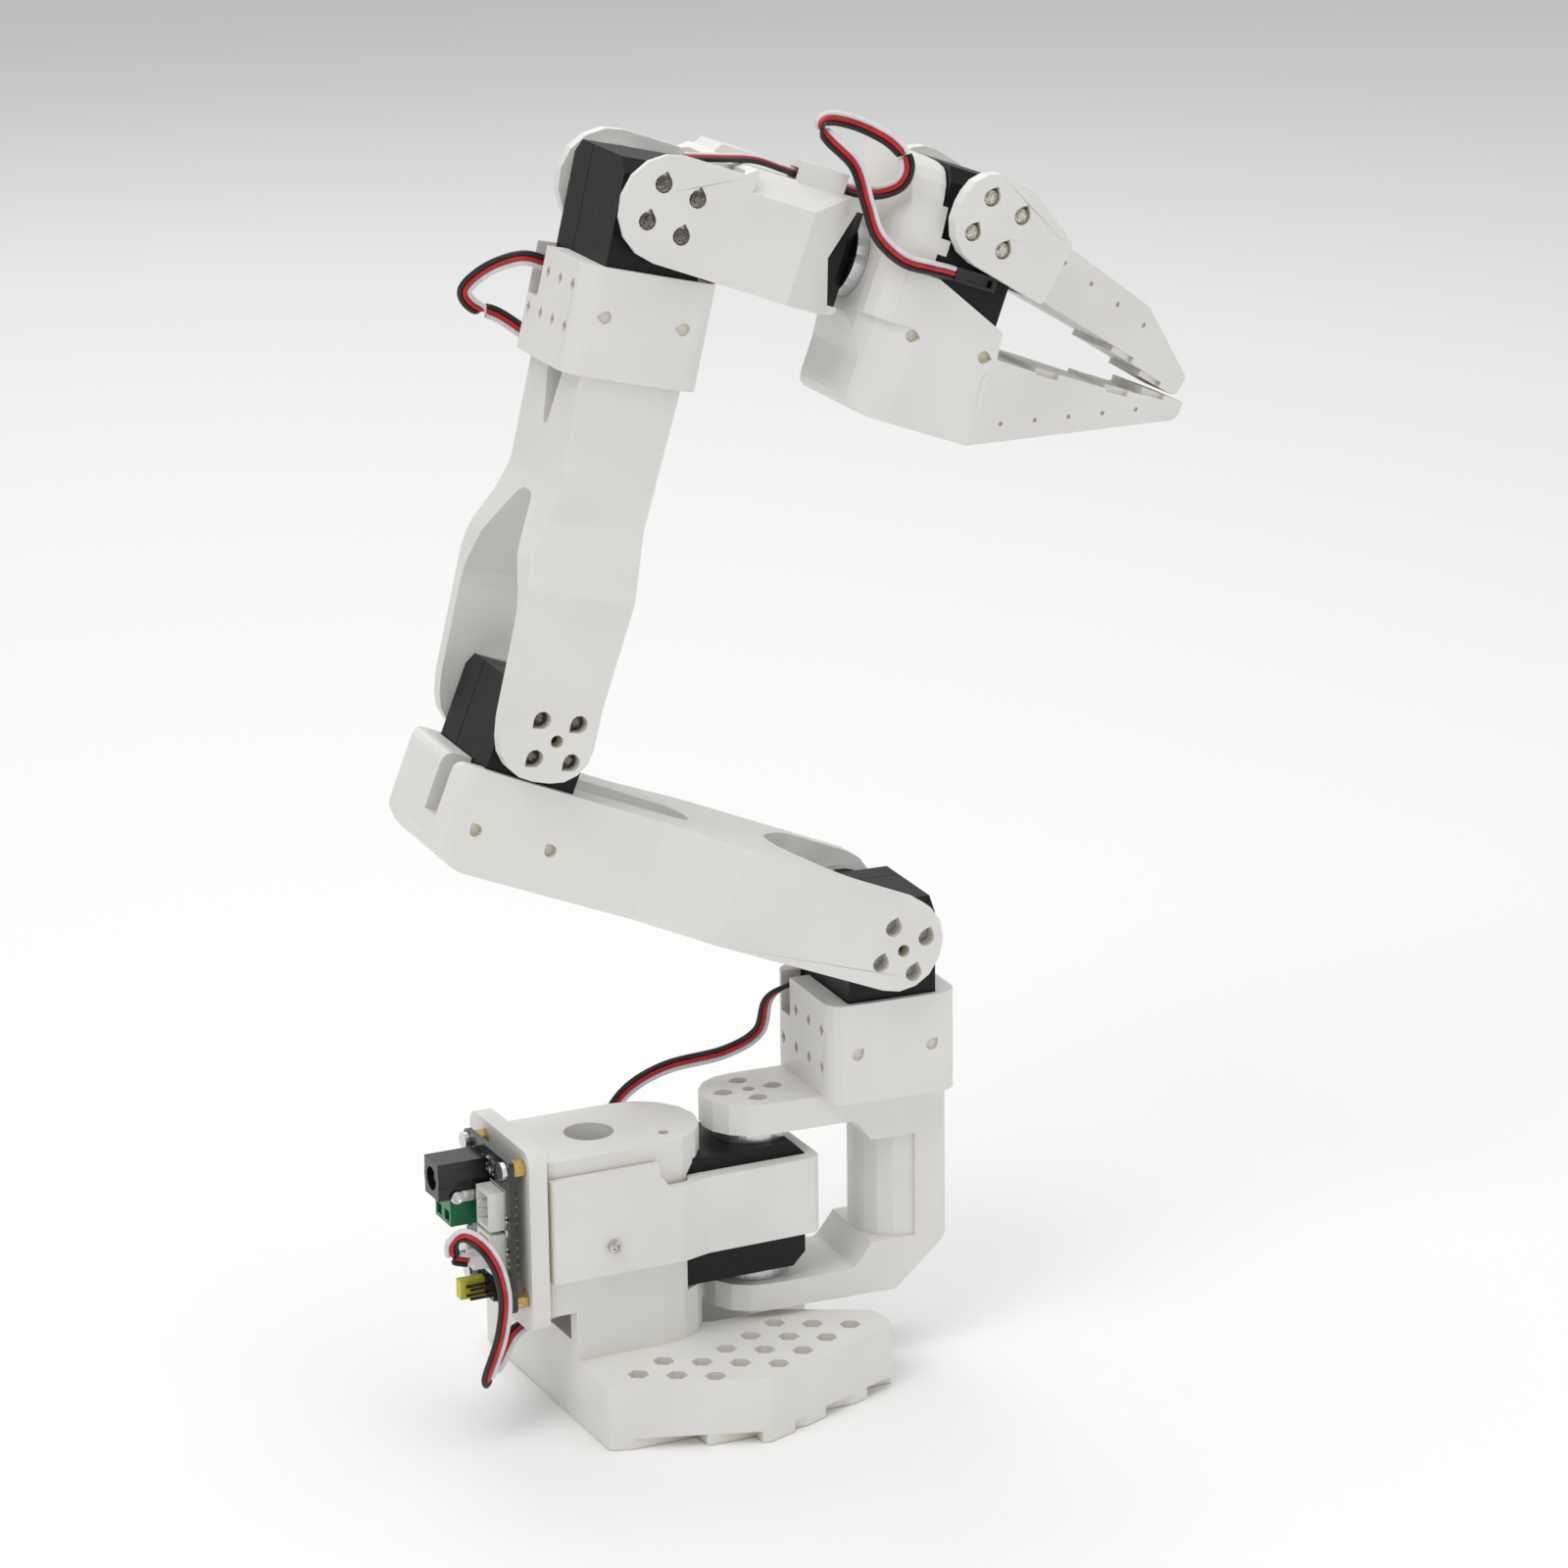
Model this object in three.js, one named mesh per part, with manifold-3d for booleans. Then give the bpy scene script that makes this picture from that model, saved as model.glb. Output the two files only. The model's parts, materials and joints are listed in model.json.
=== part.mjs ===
// Five-axis desktop robot arm with a two-jaw gripper. Millimetres, +Z up.
// The origin is on the floor, in the middle of the tower's foot. +X points to the front.
import * as THREE from 'three';
import { mergeVertices } from 'three/addons/utils/BufferGeometryUtils.js';
import Module from 'manifold-3d';

const wasm = await Module();
wasm.setup();

// ---- driving dimensions ------------------------------------------------------------

const GAP = 0.3; // clearance between neighbouring pieces

// Directions of the links at rest, in degrees: the pan about +Z, the rest up from +X.
const PAN_REST = -3;
const UPPER_REST = 158.07;
const LOWER_REST = 76.64;
const WRIST_REST = -20.11;
const JAW_REST = -32.55;

// Joint positions, each in the frame of the link that carries it. The pan axis is upright.
const PAN_AXIS_X = 40;
const LIFT_AXIS = [33.8, 0, 119];
const ELBOW_AXIS = [112.57, 0, -27.93];
const WRIST_AXIS = [134.9, 0, -3.3];
const ROLL_FACE = [60.1, 0, 0];
const JAW_AXIS = [24.4, 0, 20.2];

// Servo: a case with its output shaft near one end, driving a round horn on each face.
const SERVO_WIDTH = 24.7;
const SERVO_THICK = 35;
const SERVO_HEAD = 10.2; // from the shaft to the near end
const SERVO_TAIL = 35; // from the shaft to the far end
const SERVO_BEVEL = 3.6;
const SERVO_SEAM = 6; // from the middle to the seam of the gear cover
const HORN_RADIUS = 10;
const HORN_THICK = 3.2;
const HORN_HOLE_PITCH = 9.9; // side of the square of four horn screws
const HORN_SCREW_HOLE = 2.3; // radius
const FACE = SERVO_THICK / 2; // from the middle of a servo to its face
const FORK_IN = FACE + HORN_THICK + GAP; // inner face of a fork plate
const FORK_OUT = 25.3; // outer face of a fork plate

// Printed box that holds a servo, measured from that servo's shaft.
const BOX_HALF_X = 18.3;
const BOX_HALF_Y = 19.4;
const POCKET_HALF_X = SERVO_WIDTH / 2 + GAP;
const POCKET_HALF_Y = FACE + GAP;

// Base.
const PLATE_THICK = 17.5;
const TOWER_TOP = 73.6;
const TOWER_HALF = 16.6;
const TOWER_BACK = -66;
const STEP_LOW = 31; // height of the step in the tower's back
const TOWER_NOSE = -16.2;
const PAN_SERVO_LOW = 30.8;
const LOBE_THICK = 7.4;
const GRID_PITCH = 10;

// ---- helpers -----------------------------------------------------------------------

const rad = THREE.MathUtils.degToRad;

// A closed solid from a three.js geometry.
function solid(geometry) {
  const plain = geometry.index ? geometry.toNonIndexed() : geometry.clone();
  plain.deleteAttribute('normal');
  plain.deleteAttribute('uv');
  const merged = mergeVertices(plain, 1e-4);
  const vertProperties = new Float32Array(merged.attributes.position.array);
  const triVerts = new Uint32Array(merged.index.array);
  return new wasm.Manifold(new wasm.Mesh({ numProp: 3, vertProperties, triVerts }));
}

// A path through points [x, y, radius], with each corner rounded to its radius.
function roundedShape(points) {
  const shape = new THREE.Shape();
  const count = points.length;
  for (let i = 0; i < count; i += 1) {
    const here = new THREE.Vector2(points[i][0], points[i][1]);
    const before = new THREE.Vector2(...points[(i + count - 1) % count]).sub(here);
    const after = new THREE.Vector2(...points[(i + 1) % count]).sub(here);
    const radius = points[i][2] ?? 0;
    const half = Math.acos(before.dot(after) / (before.length() * after.length())) / 2;
    const reach = radius / Math.tan(half);
    const steps = radius === 0 ? 0 : Math.max(2, Math.ceil((Math.PI / 2 - half) / 0.2));
    const enter = before.setLength(reach).add(here);
    const leave = after.setLength(reach).add(here);
    const middle = enter.clone().add(leave).sub(here).sub(here);
    const centre = middle.length() > 0
      ? middle.setLength(radius / Math.sin(half)).add(here) : here;
    const from = enter.clone().sub(centre).angle();
    let sweep = leave.clone().sub(centre).angle() - from;
    if (sweep > Math.PI) sweep -= 2 * Math.PI;
    if (sweep < -Math.PI) sweep += 2 * Math.PI;
    for (let k = 0; k <= steps; k += 1) {
      const turn = from + (steps === 0 ? 0 : (sweep * k) / steps);
      const x = radius === 0 ? here.x : centre.x + radius * Math.cos(turn);
      const y = radius === 0 ? here.y : centre.y + radius * Math.sin(turn);
      if (i === 0 && k === 0) shape.moveTo(x, y);
      else shape.lineTo(x, y);
    }
  }
  return shape;
}

// An outline in X and Z, extruded along Y.
function sideways(points, y0, y1) {
  const geometry = new THREE.ExtrudeGeometry(roundedShape(points),
    { depth: y1 - y0, bevelEnabled: false });
  geometry.rotateX(Math.PI / 2);
  geometry.translate(0, y1, 0);
  return solid(geometry);
}

// An outline in X and Y, extruded along Z.
function upright(points, z0, z1) {
  const geometry = new THREE.ExtrudeGeometry(roundedShape(points),
    { depth: z1 - z0, bevelEnabled: false });
  geometry.translate(0, 0, z0);
  return solid(geometry);
}

// An outline in Y and Z, extruded along X.
function lengthways(points, x0, x1) {
  const geometry = new THREE.ExtrudeGeometry(roundedShape(points),
    { depth: x1 - x0, bevelEnabled: false });
  geometry.rotateZ(Math.PI / 2);
  geometry.rotateY(Math.PI / 2);
  geometry.translate(x0, 0, 0);
  return solid(geometry);
}

function box(x0, x1, y0, y1, z0, z1) {
  const geometry = new THREE.BoxGeometry(x1 - x0, y1 - y0, z1 - z0);
  geometry.translate((x0 + x1) / 2, (y0 + y1) / 2, (z0 + z1) / 2);
  return solid(geometry);
}

// A rectangle's four corners with one radius.
function rectangle(x0, x1, y0, y1, radius) {
  return [[x0, y0, radius], [x1, y0, radius], [x1, y1, radius], [x0, y1, radius]];
}

// A cylinder along one axis: 'x', 'y' or 'z', from low to high on that axis.
function rod(axis, a, b, low, high, radius, sides = 20) {
  const geometry = new THREE.CylinderGeometry(radius, radius, high - low, sides);
  geometry.translate(0, (low + high) / 2, 0);
  if (axis === 'x') {
    geometry.rotateZ(-Math.PI / 2);
    geometry.translate(0, a, b);
  } else if (axis === 'y') {
    geometry.translate(a, 0, b);
  } else {
    geometry.rotateX(Math.PI / 2);
    geometry.translate(a, b, 0);
  }
  return solid(geometry);
}

// A printed hole along Y with a pointed roof, so that it needs no support.
function teardrop(x, z, y0, y1, radius, roofDegrees) {
  const points = [];
  const steps = 9;
  for (let i = 0; i <= steps; i += 1) {
    const turn = rad(roofDegrees + 45 + (270 * i) / steps);
    points.push([x + radius * Math.cos(turn), z + radius * Math.sin(turn)]);
  }
  const tip = radius * Math.SQRT2;
  points.push([x + tip * Math.cos(rad(roofDegrees)), z + tip * Math.sin(rad(roofDegrees))]);
  return sideways(points, y0, y1);
}

function union(...pieces) {
  return pieces.reduce((sum, piece) => sum.add(piece));
}

function subtractAll(body, cuts) {
  return cuts.reduce((rest, cut) => rest.subtract(cut), body);
}

// The two sides, y and -y, of a piece made by one function of its side.
function bothSides(make) {
  return [make(-1), make(1)];
}

// The span from a to b on one side: side 1 is +Y, side -1 is -Y.
function span(side, a, b) {
  return side > 0 ? [a, b] : [-b, -a];
}

const FINISH = {
  printed: { color: 0xe4e1da, roughness: 0.55, metalness: 0 },
  servo: { color: 0x17191d, roughness: 0.5, metalness: 0 },
  alloy: { color: 0xb9bcc0, roughness: 0.3, metalness: 1 },
  board: { color: 0x14201c, roughness: 0.4, metalness: 0 },
  black: { color: 0x0d0e10, roughness: 0.35, metalness: 0 },
  green: { color: 0x1f7a45, roughness: 0.4, metalness: 0 },
  socket: { color: 0xe9e9e6, roughness: 0.4, metalness: 0 },
  yellow: { color: 0xc9c11e, roughness: 0.45, metalness: 0 },
  brass: { color: 0xb58a3a, roughness: 0.35, metalness: 1 },
  steel: { color: 0xc8c6c0, roughness: 0.25, metalness: 1 },
  lead: { color: 0xa8201f, roughness: 0.5, metalness: 0 },
};

const materials = {};
for (const [name, values] of Object.entries(FINISH)) {
  materials[name] = new THREE.MeshStandardMaterial(values);
}

// A named mesh from a solid.
function meshOf(name, body, finish) {
  const data = body.getMesh();
  const geometry = new THREE.BufferGeometry();
  geometry.setAttribute('position', new THREE.BufferAttribute(data.vertProperties, 3));
  geometry.setIndex(new THREE.BufferAttribute(data.triVerts, 1));
  geometry.computeVertexNormals();
  const mesh = new THREE.Mesh(geometry, materials[finish]);
  mesh.name = name;
  return mesh;
}

// ---- servo and horns, with the shaft on the local Y axis and the tail along -Z --------

function servoOutline(y0, y1) {
  const b = SERVO_BEVEL;
  const low = y0 === -FACE ? b : 0;
  const high = y1 === FACE ? b : 0;
  return [
    [y0 + low, -SERVO_TAIL], [y1 - high, -SERVO_TAIL], [y1, -SERVO_TAIL + high],
    [y1, SERVO_HEAD - high], [y1 - high, SERVO_HEAD], [y0 + low, SERVO_HEAD],
    [y0, SERVO_HEAD - low], [y0, -SERVO_TAIL + low],
  ].filter((p, i, all) => i === 0 || p[0] !== all[i - 1][0] || p[1] !== all[i - 1][1]);
}

function addServo(group, name) {
  const half = SERVO_WIDTH / 2;
  const seam = SERVO_SEAM;
  const cover = lengthways(servoOutline(seam + GAP / 2, FACE), -half, half);
  const motorCase = lengthways(servoOutline(-FACE, seam - GAP / 2), -half, half);
  group.add(meshOf(`${name}_servo_case`, motorCase, 'servo'));
  group.add(meshOf(`${name}_servo_gear_cover`, cover, 'servo'));
}

function horn(side) {
  const [y0, y1] = span(side, FACE + 0.1, FORK_IN - 0.1);
  const disc = rod('y', 0, 0, y0, y1, HORN_RADIUS, 28);
  return disc.subtract(rod('y', 0, 0, y0 - 1, y1 + 1, 1.6, 10));
}

function addHorns(group, name) {
  group.add(meshOf(`${name}_drive_horn`, horn(1), 'alloy'));
  group.add(meshOf(`${name}_idler_horn`, horn(-1), 'alloy'));
}

// Four screw holes through a fork plate, along Y.
function hornHoles(y0, y1, turnDegrees, roofDegrees) {
  const half = HORN_HOLE_PITCH / 2;
  const cuts = [];
  for (const sx of [-1, 1]) {
    for (const sz of [-1, 1]) {
      const spot = new THREE.Vector2(sx * half, sz * half);
      spot.rotateAround(new THREE.Vector2(), rad(turnDegrees));
      cuts.push(teardrop(spot.x, spot.y, y0, y1, HORN_SCREW_HOLE, roofDegrees));
    }
  }
  return cuts;
}

function centreHole(y0, y1) {
  return rod('y', 0, 0, y0, y1, 1.7, 10);
}

const CASE_HOLE_FLOOR = 0.5; // left standing between a case hole and the pocket

// The two case-screw holes in a box wall, below the shaft, on the side that is named.
function caseHoles(side, drop, roofDegrees) {
  const [y0, y1] = span(side, POCKET_HALF_Y + CASE_HOLE_FLOOR, BOX_HALF_Y + 8);
  return [-1, 1].map((s) => teardrop(s * 10.54, -drop, y0, y1, 1.7, roofDegrees));
}

// Vents: two rows of four diamonds through an end wall of a box.
function ventHoles(x0, x1, drop) {
  const cuts = [];
  for (const z of [-drop - 5.2, -drop + 5.2]) {
    for (let i = 0; i < 4; i += 1) {
      const y = (i - 1.5) * 8.68;
      cuts.push(lengthways([[y - 1.3, z], [y, z - 1.9], [y + 1.3, z], [y, z + 1.9]], x0, x1));
    }
  }
  return cuts;
}

// ---- base --------------------------------------------------------------------------

function towerPlan(half, nose) {
  return [[TOWER_BACK, -half, 3], [nose, -half, half - 0.05], [nose, half, half - 0.05],
    [TOWER_BACK, half, 3]];
}

// Floor plate: two wings and a notch between them, which clears the pan horn.
const PLATE_BACK = -57.5;
const WING_APEX_X = -18;
const NEAR_APEX_Y = -50;
const FAR_APEX_Y = 52;
const WING_FRONT = [27, 31.5]; // front corner of each wing, x and distance from the middle

function platePlan() {
  const [fx, fy] = WING_FRONT;
  return [
    [PLATE_BACK, -36, 1.2], [WING_APEX_X, NEAR_APEX_Y, 3], [fx, -fy, 4], [26, -20.5, 3],
    [3.4, -8.3, 5], [-19, -8.3, 4], [-19, 8.3, 4], [3.4, 8.3, 5],
    [26, 20.5, 3], [fx, fy, 4], [WING_APEX_X, FAR_APEX_Y, 3], [PLATE_BACK, FAR_APEX_Y, 7],
  ];
}

// Honeycomb of blind holes in the top of the wing on one side, in rows at 30 degrees.
function wingHoles(side) {
  const cuts = [];
  const rows = 5;
  const perRow = 6;
  for (let row = 0; row < rows; row += 1) {
    for (let i = 0; i < perRow; i += 1) {
      const along = (i + (row % 2) / 2) * GRID_PITCH;
      const x = along * Math.cos(rad(30)) + row * GRID_PITCH * 0.5 - 47;
      const out = along * Math.sin(rad(30)) - row * GRID_PITCH * 0.75 + 31.5;
      const inPlate = out < 46.5 - Math.abs(x - WING_APEX_X) * 0.4 && out > 14 && x < 22;
      const clearOfTower = x > -17 || out > 21.5;
      if (inPlate && clearOfTower) {
        cuts.push(rod('z', x, side * out, PLATE_THICK - 4, PLATE_THICK + 1, 2.9, 6));
      }
    }
  }
  return cuts;
}

// Stepped foot: runs of the underside's edge as [x from, x to, distance from the middle].
const FOOT_RUNS = [[-60, -33.5, 38], [-33.5, -20, 44.7], [-9.6, 1.5, 44.7], [1.5, 16.6, 37.6],
  [16.6, 32, 29.6]];
const FOOT_HEIGHT = 3;

function footNotches(side) {
  const runs = FOOT_RUNS.filter(([x0]) => side < 0 || x0 > WING_APEX_X);
  return runs.map(([x0, x1, out]) => {
    const [y0, y1] = span(side, out, 60);
    return box(x0, x1, y0, y1, -1, FOOT_HEIGHT);
  });
}

function makeBase() {
  const low = PAN_SERVO_LOW - GAP;
  const high = PAN_SERVO_LOW + SERVO_THICK + GAP;
  let body = union(upright(platePlan(), 0, PLATE_THICK),
    upright(towerPlan(TOWER_HALF, TOWER_NOSE), 0, TOWER_TOP));
  // Below the board the tower steps in to the plate's own back edge.
  body = body.subtract(box(TOWER_BACK - 5, PLATE_BACK, -TOWER_HALF - 5, TOWER_HALF + 5, -1, STEP_LOW));
  // The opening round the front of the pan servo, with a sloped roof at its back.
  body = body.subtract(sideways([[-25, low], [0, low], [0, high], [-21.5, high], [-25, 62.6]],
    -30, 30));
  // The servo's own pocket, the wiring hollow behind it, and the shaft hole in the roof.
  body = body.subtract(box(-SERVO_TAIL - GAP, 0, -POCKET_HALF_X, POCKET_HALF_X, low, high));
  body = body.subtract(box(-80, -40, -12.4, 12.4, 22, 68));
  body = body.subtract(rod('z', -46.1, 0, 60, 90, 6.6, 28));
  body = body.subtract(rod('z', -29, -9.5, 68, 90, 1.5, 10));
  // Pilot holes for the two screws of the servo holder.
  body = body.subtract(rod('y', -48, 49, -30, 30, 1.2, 10));
  // Hole in the far wall, where the shoulder lead goes in.
  body = body.subtract(rod('y', -46, 34, 11, 30, 3.4, 16));
  for (const side of [-1, 1]) {
    body = subtractAll(body, wingHoles(side));
    body = subtractAll(body, footNotches(side));
  }
  return body;
}

// U-shaped holder that ties the pan servo to the tower.
function makeServoHolder() {
  const outer = upright([[-65, -19.6, 1.5], [-28, -19.6, 5], [-20, -17.2, 5], [13.4, -16.6, 3.5],
    [13.4, 16.6, 3.5], [-20, 17.2, 5], [-28, 19.6, 5], [-65, 19.6, 1.5]], 41, 69);
  const inner = upright([[-70, -17, 0], [-26.5, -17, 2], [-24.7, -15.8, 0], [-24.7, -12.7, 0],
    [10.5, -12.7, 1], [10.5, 12.7, 1], [-24.7, 12.7, 0], [-24.7, 15.8, 0], [-26.5, 17, 2],
    [-70, 17, 0]], 30, 80);
  const front = sideways([[-34.5, 90], [-34.5, 66], [-31.5, 62], [40, 62], [40, 90]], -30, 30);
  let body = subtractAll(outer, [inner, front]);
  body = body.subtract(rod('y', -48, 49, -30, 30, 1.3, 12));
  return body;
}

function makeHolderScrew(side) {
  const [h0, h1] = span(side, 19.7, 21);
  const [s0, s1] = span(side, 14, 20);
  const head = rod('y', -48, 49, h0, h1, 1.7, 14);
  return union(head, rod('y', -48, 49, s0, s1, 1.05, 8));
}

// ---- controller board on the back of the base -------------------------------------------

const MOUNT_BACK = -71.2; // rear face of the mounting plate
const BOARD_BACK = -76.2; // component side of the circuit board
const BOARD_THICK = 1.6;
const BOARD_NEAR = -18.5;
const BOARD_FAR = 12;
const BOARD_LOW = 34.5;
const BOARD_TOP = 76;

function boardCorners() {
  const inset = 2.8;
  return [
    [BOARD_NEAR + inset, BOARD_LOW + inset], [BOARD_FAR - inset, BOARD_LOW + inset],
    [BOARD_FAR - inset, BOARD_TOP - inset], [BOARD_NEAR + inset, BOARD_TOP - inset],
  ];
}

function makeMountingPlate() {
  const front = TOWER_BACK - GAP;
  let body = lengthways(rectangle(-20, 20, 28.5, 78, 4), MOUNT_BACK, front);
  body = body.subtract(lengthways(rectangle(-8, 8, 40, 66, 3), MOUNT_BACK - 1, front + 1));
  for (const [y, z] of boardCorners()) {
    body = body.subtract(rod('x', y, z, MOUNT_BACK - 1, front + 1, 1.3, 10));
  }
  return body;
}

function makeBoard() {
  let body = lengthways(rectangle(BOARD_NEAR, BOARD_FAR, BOARD_LOW, BOARD_TOP, 1.5),
    BOARD_BACK, BOARD_BACK + BOARD_THICK);
  for (const [y, z] of boardCorners()) {
    body = body.subtract(rod('x', y, z, -90, -60, 1.6, 10));
  }
  return body;
}

function makeStandoff(y, z) {
  const x0 = BOARD_BACK + BOARD_THICK + 0.1;
  return rod('x', y, z, x0, MOUNT_BACK - 0.1, 2.5, 6);
}

function makeBoardScrew(y, z) {
  const head = rod('x', y, z, BOARD_BACK - 1.5, BOARD_BACK - 0.1, 2.4, 14);
  return union(head, rod('x', y, z, BOARD_BACK - 0.2, BOARD_BACK + 1.55, 1.2, 8));
}

// A box that stands on the component side of the board.
function onBoard(y0, y1, z0, z1, height, sink = 0.1) {
  return box(BOARD_BACK - height, BOARD_BACK - sink, y0, y1, z0, z1);
}

function makePowerJack() {
  const y = 0;
  const z = 68.3;
  let body = onBoard(y - 4.6, y + 4.6, z - 5, z + 5, 14);
  body = body.add(rod('x', y, z, BOARD_BACK - 14, BOARD_BACK - 3, 5, 20));
  body = body.subtract(rod('x', y, z, BOARD_BACK - 15, BOARD_BACK - 5, 3.2, 16));
  return body.add(rod('x', y, z, BOARD_BACK - 13, BOARD_BACK - 4, 1, 8));
}

function makeScrewTerminal() {
  let body = onBoard(-2.5, 8, 55, 62.3, 10);
  for (const y of [0.1, 5.4]) {
    body = body.subtract(box(BOARD_BACK - 11, BOARD_BACK - 6, y - 1.6, y + 1.6, 56.1, 58.9));
    body = body.subtract(rod('z', BOARD_BACK - 5, y, 61.5, 63.5, 1.2, 10));
  }
  return body;
}

function makeUsbPort() {
  const body = onBoard(0.5, 9.5, 43.5, 46.8, 7);
  return body.subtract(box(BOARD_BACK - 8, BOARD_BACK - 2, 1.3, 8.7, 44.2, 46.1));
}

function makeServoSocket(z) {
  const body = onBoard(-15, -6.2, z - 5.2, z + 5.2, 4.2);
  return body.subtract(box(BOARD_BACK - 8, BOARD_BACK - 1.5, -13.8, -7.4, z - 4.2, z + 4.2));
}

function makePinHeader() {
  let body = onBoard(-12, -4.4, 36.4, 41.4, 2.6);
  for (const y of [-10.7, -8.2, -5.7]) {
    for (const z of [37.7, 40.2]) {
      body = body.add(box(BOARD_BACK - 8.5, BOARD_BACK - 2, y - 0.32, y + 0.32, z - 0.32,
        z + 0.32));
    }
  }
  return body;
}

function makeJumper() {
  const body = box(BOARD_BACK - 9.7, BOARD_BACK - 2.9, -7.2, -4.2, 36.4, 41.5);
  return body.subtract(box(BOARD_BACK - 9, BOARD_BACK - 2, -6.4, -5, 37, 40.9));
}

// ---- shoulder bracket, in the shoulder frame (origin on the pan axis) -------------------

function makeShoulderBracket() {
  const half = 13.3;
  const lowFace = PAN_SERVO_LOW - HORN_THICK - GAP;
  const highFace = PAN_SERVO_LOW + SERVO_THICK + HORN_THICK + GAP;
  const bottom = lowFace - LOBE_THICK;
  const top = highFace + LOBE_THICK;
  const back = LIFT_AXIS[0] + BOX_HALF_X;
  // C-shaped side outline: two arms joined by a column, with a slope under the front.
  const side = sideways([
    [-half, bottom], [back - 16, bottom], [back, bottom + 14], [back, top + 1], [-half, top + 1],
    [-half, highFace], [25, highFace, 4], [29.5, highFace - 6, 3], [29.5, lowFace + 7, 3],
    [24, lowFace, 3], [-half, lowFace],
  ], -half, half);
  const plan = upright([[-half, -half, half - 0.05], [back, -half, 4], [back, half, 4],
    [-half, half, half - 0.05]], bottom - 1, top + 2);
  let body = side.intersect(plan);
  // Between the arms the column is rounded towards the pan servo and set back at both sides.
  const [columnLow, columnHigh] = [lowFace + 7, highFace - 6];
  const column = upright([[29.5, -half + 1, 11], [42, -half + 1, 0], [42, half - 1, 0],
    [29.5, half - 1, 11]], columnLow - 1, columnHigh + 1);
  body = body.subtract(box(20, 42, -20, 20, columnLow, columnHigh).subtract(column));
  // The box of the shoulder-lift servo.
  const [lx, , lz] = LIFT_AXIS;
  const boxLow = top - 0.2;
  const boxTop = lz - 15.2;
  body = body.add(upright(rectangle(lx - BOX_HALF_X, lx + BOX_HALF_X, -BOX_HALF_Y, BOX_HALF_Y,
    5), boxLow, boxTop));
  body = body.subtract(box(lx - POCKET_HALF_X, lx + POCKET_HALF_X, -POCKET_HALF_Y, POCKET_HALF_Y,
    lz - SERVO_TAIL - GAP, boxTop + 1));
  // Cable slot in the rear wall, next to the far corner.
  body = body.subtract(sideways([[lx - 30, 93], [lx - 5, 93], [lx - 5, 120], [lx - 30, 120]],
    8.5, 14.5));
  const place = (cut) => cut.translate([lx, 0, lz]);
  body = subtractAll(body, ventHoles(-30, -8, 28.1).map(place));
  for (const s of [-1, 1]) {
    body = subtractAll(body, caseHoles(s, 29, 45).map(place));
  }
  // Horn screws: holes along Z through both arms, and a cross hole to reach the lower ones.
  const quarter = (cut) => cut.rotate([90, 0, 0]);
  for (const cut of [...hornHoles(bottom - 2, lowFace + 2, 45, 180),
    centreHole(bottom - 2, lowFace + 2)]) {
    body = body.subtract(quarter(cut));
  }
  for (const cut of [...hornHoles(highFace - 2, top + 2, 45, 180),
    centreHole(highFace - 2, top + 2)]) {
    body = body.subtract(quarter(cut));
  }
  return body;
}

// ---- upper arm, along +X from the lift axis; +Z points down at rest ----------------------

function makeUpperArm() {
  const end = 133;
  const [ex, , ez] = ELBOW_AXIS;
  const side = sideways([[-10.3, -13.8, 12], [end, -15.4, 3], [end, 5, 6], [end - 7, 11.5, 8],
    [-10.3, 11.5, 12]], -FORK_OUT, FORK_OUT);
  const plan = upright([
    [-14, -FORK_OUT, 1.5], [52, -FORK_OUT, 3], [74, -20.4, 3], [end, -BOX_HALF_Y - 0.6, 5],
    [end, BOX_HALF_Y + 0.6, 5], [74, 20.4, 3], [52, FORK_OUT, 3], [-14, FORK_OUT, 1.5],
  ], -30, 30);
  let body = side.intersect(plan);
  // The fork's gap ends in an arch.
  body = body.subtract(upright([[-30, -FORK_IN, 0], [22, -FORK_IN, 12], [40, 0, 14],
    [22, FORK_IN, 12], [-30, FORK_IN, 0]], -30, 30));
  // Pocket of the elbow servo, open at the top, and a wiring slot behind it.
  body = body.subtract(box(ex - POCKET_HALF_X, ex + POCKET_HALF_X, -POCKET_HALF_Y, POCKET_HALF_Y,
    -30, ez + SERVO_TAIL + GAP));
  body = body.subtract(upright([[60, -7, 6.5], [100.5, -9, 0], [100.5, 9, 0], [60, 7, 6.5]],
    -30, 30));
  // Slot in the end wall.
  body = body.subtract(box(end - 12, end + 5, -15.5, -7.5, -30, 0));
  body = subtractAll(body, [...hornHoles(-30, 30, 0, -90), centreHole(-30, 30)]);
  const place = (cut) => cut.rotate([180, 0, 0]).translate([ex, 0, ez]);
  for (const s of [-1, 1]) {
    body = subtractAll(body, caseHoles(s, 28, 45).map(place));
  }
  return body;
}

// ---- lower arm, along +X from the elbow axis; +Z points back at rest ---------------------

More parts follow.
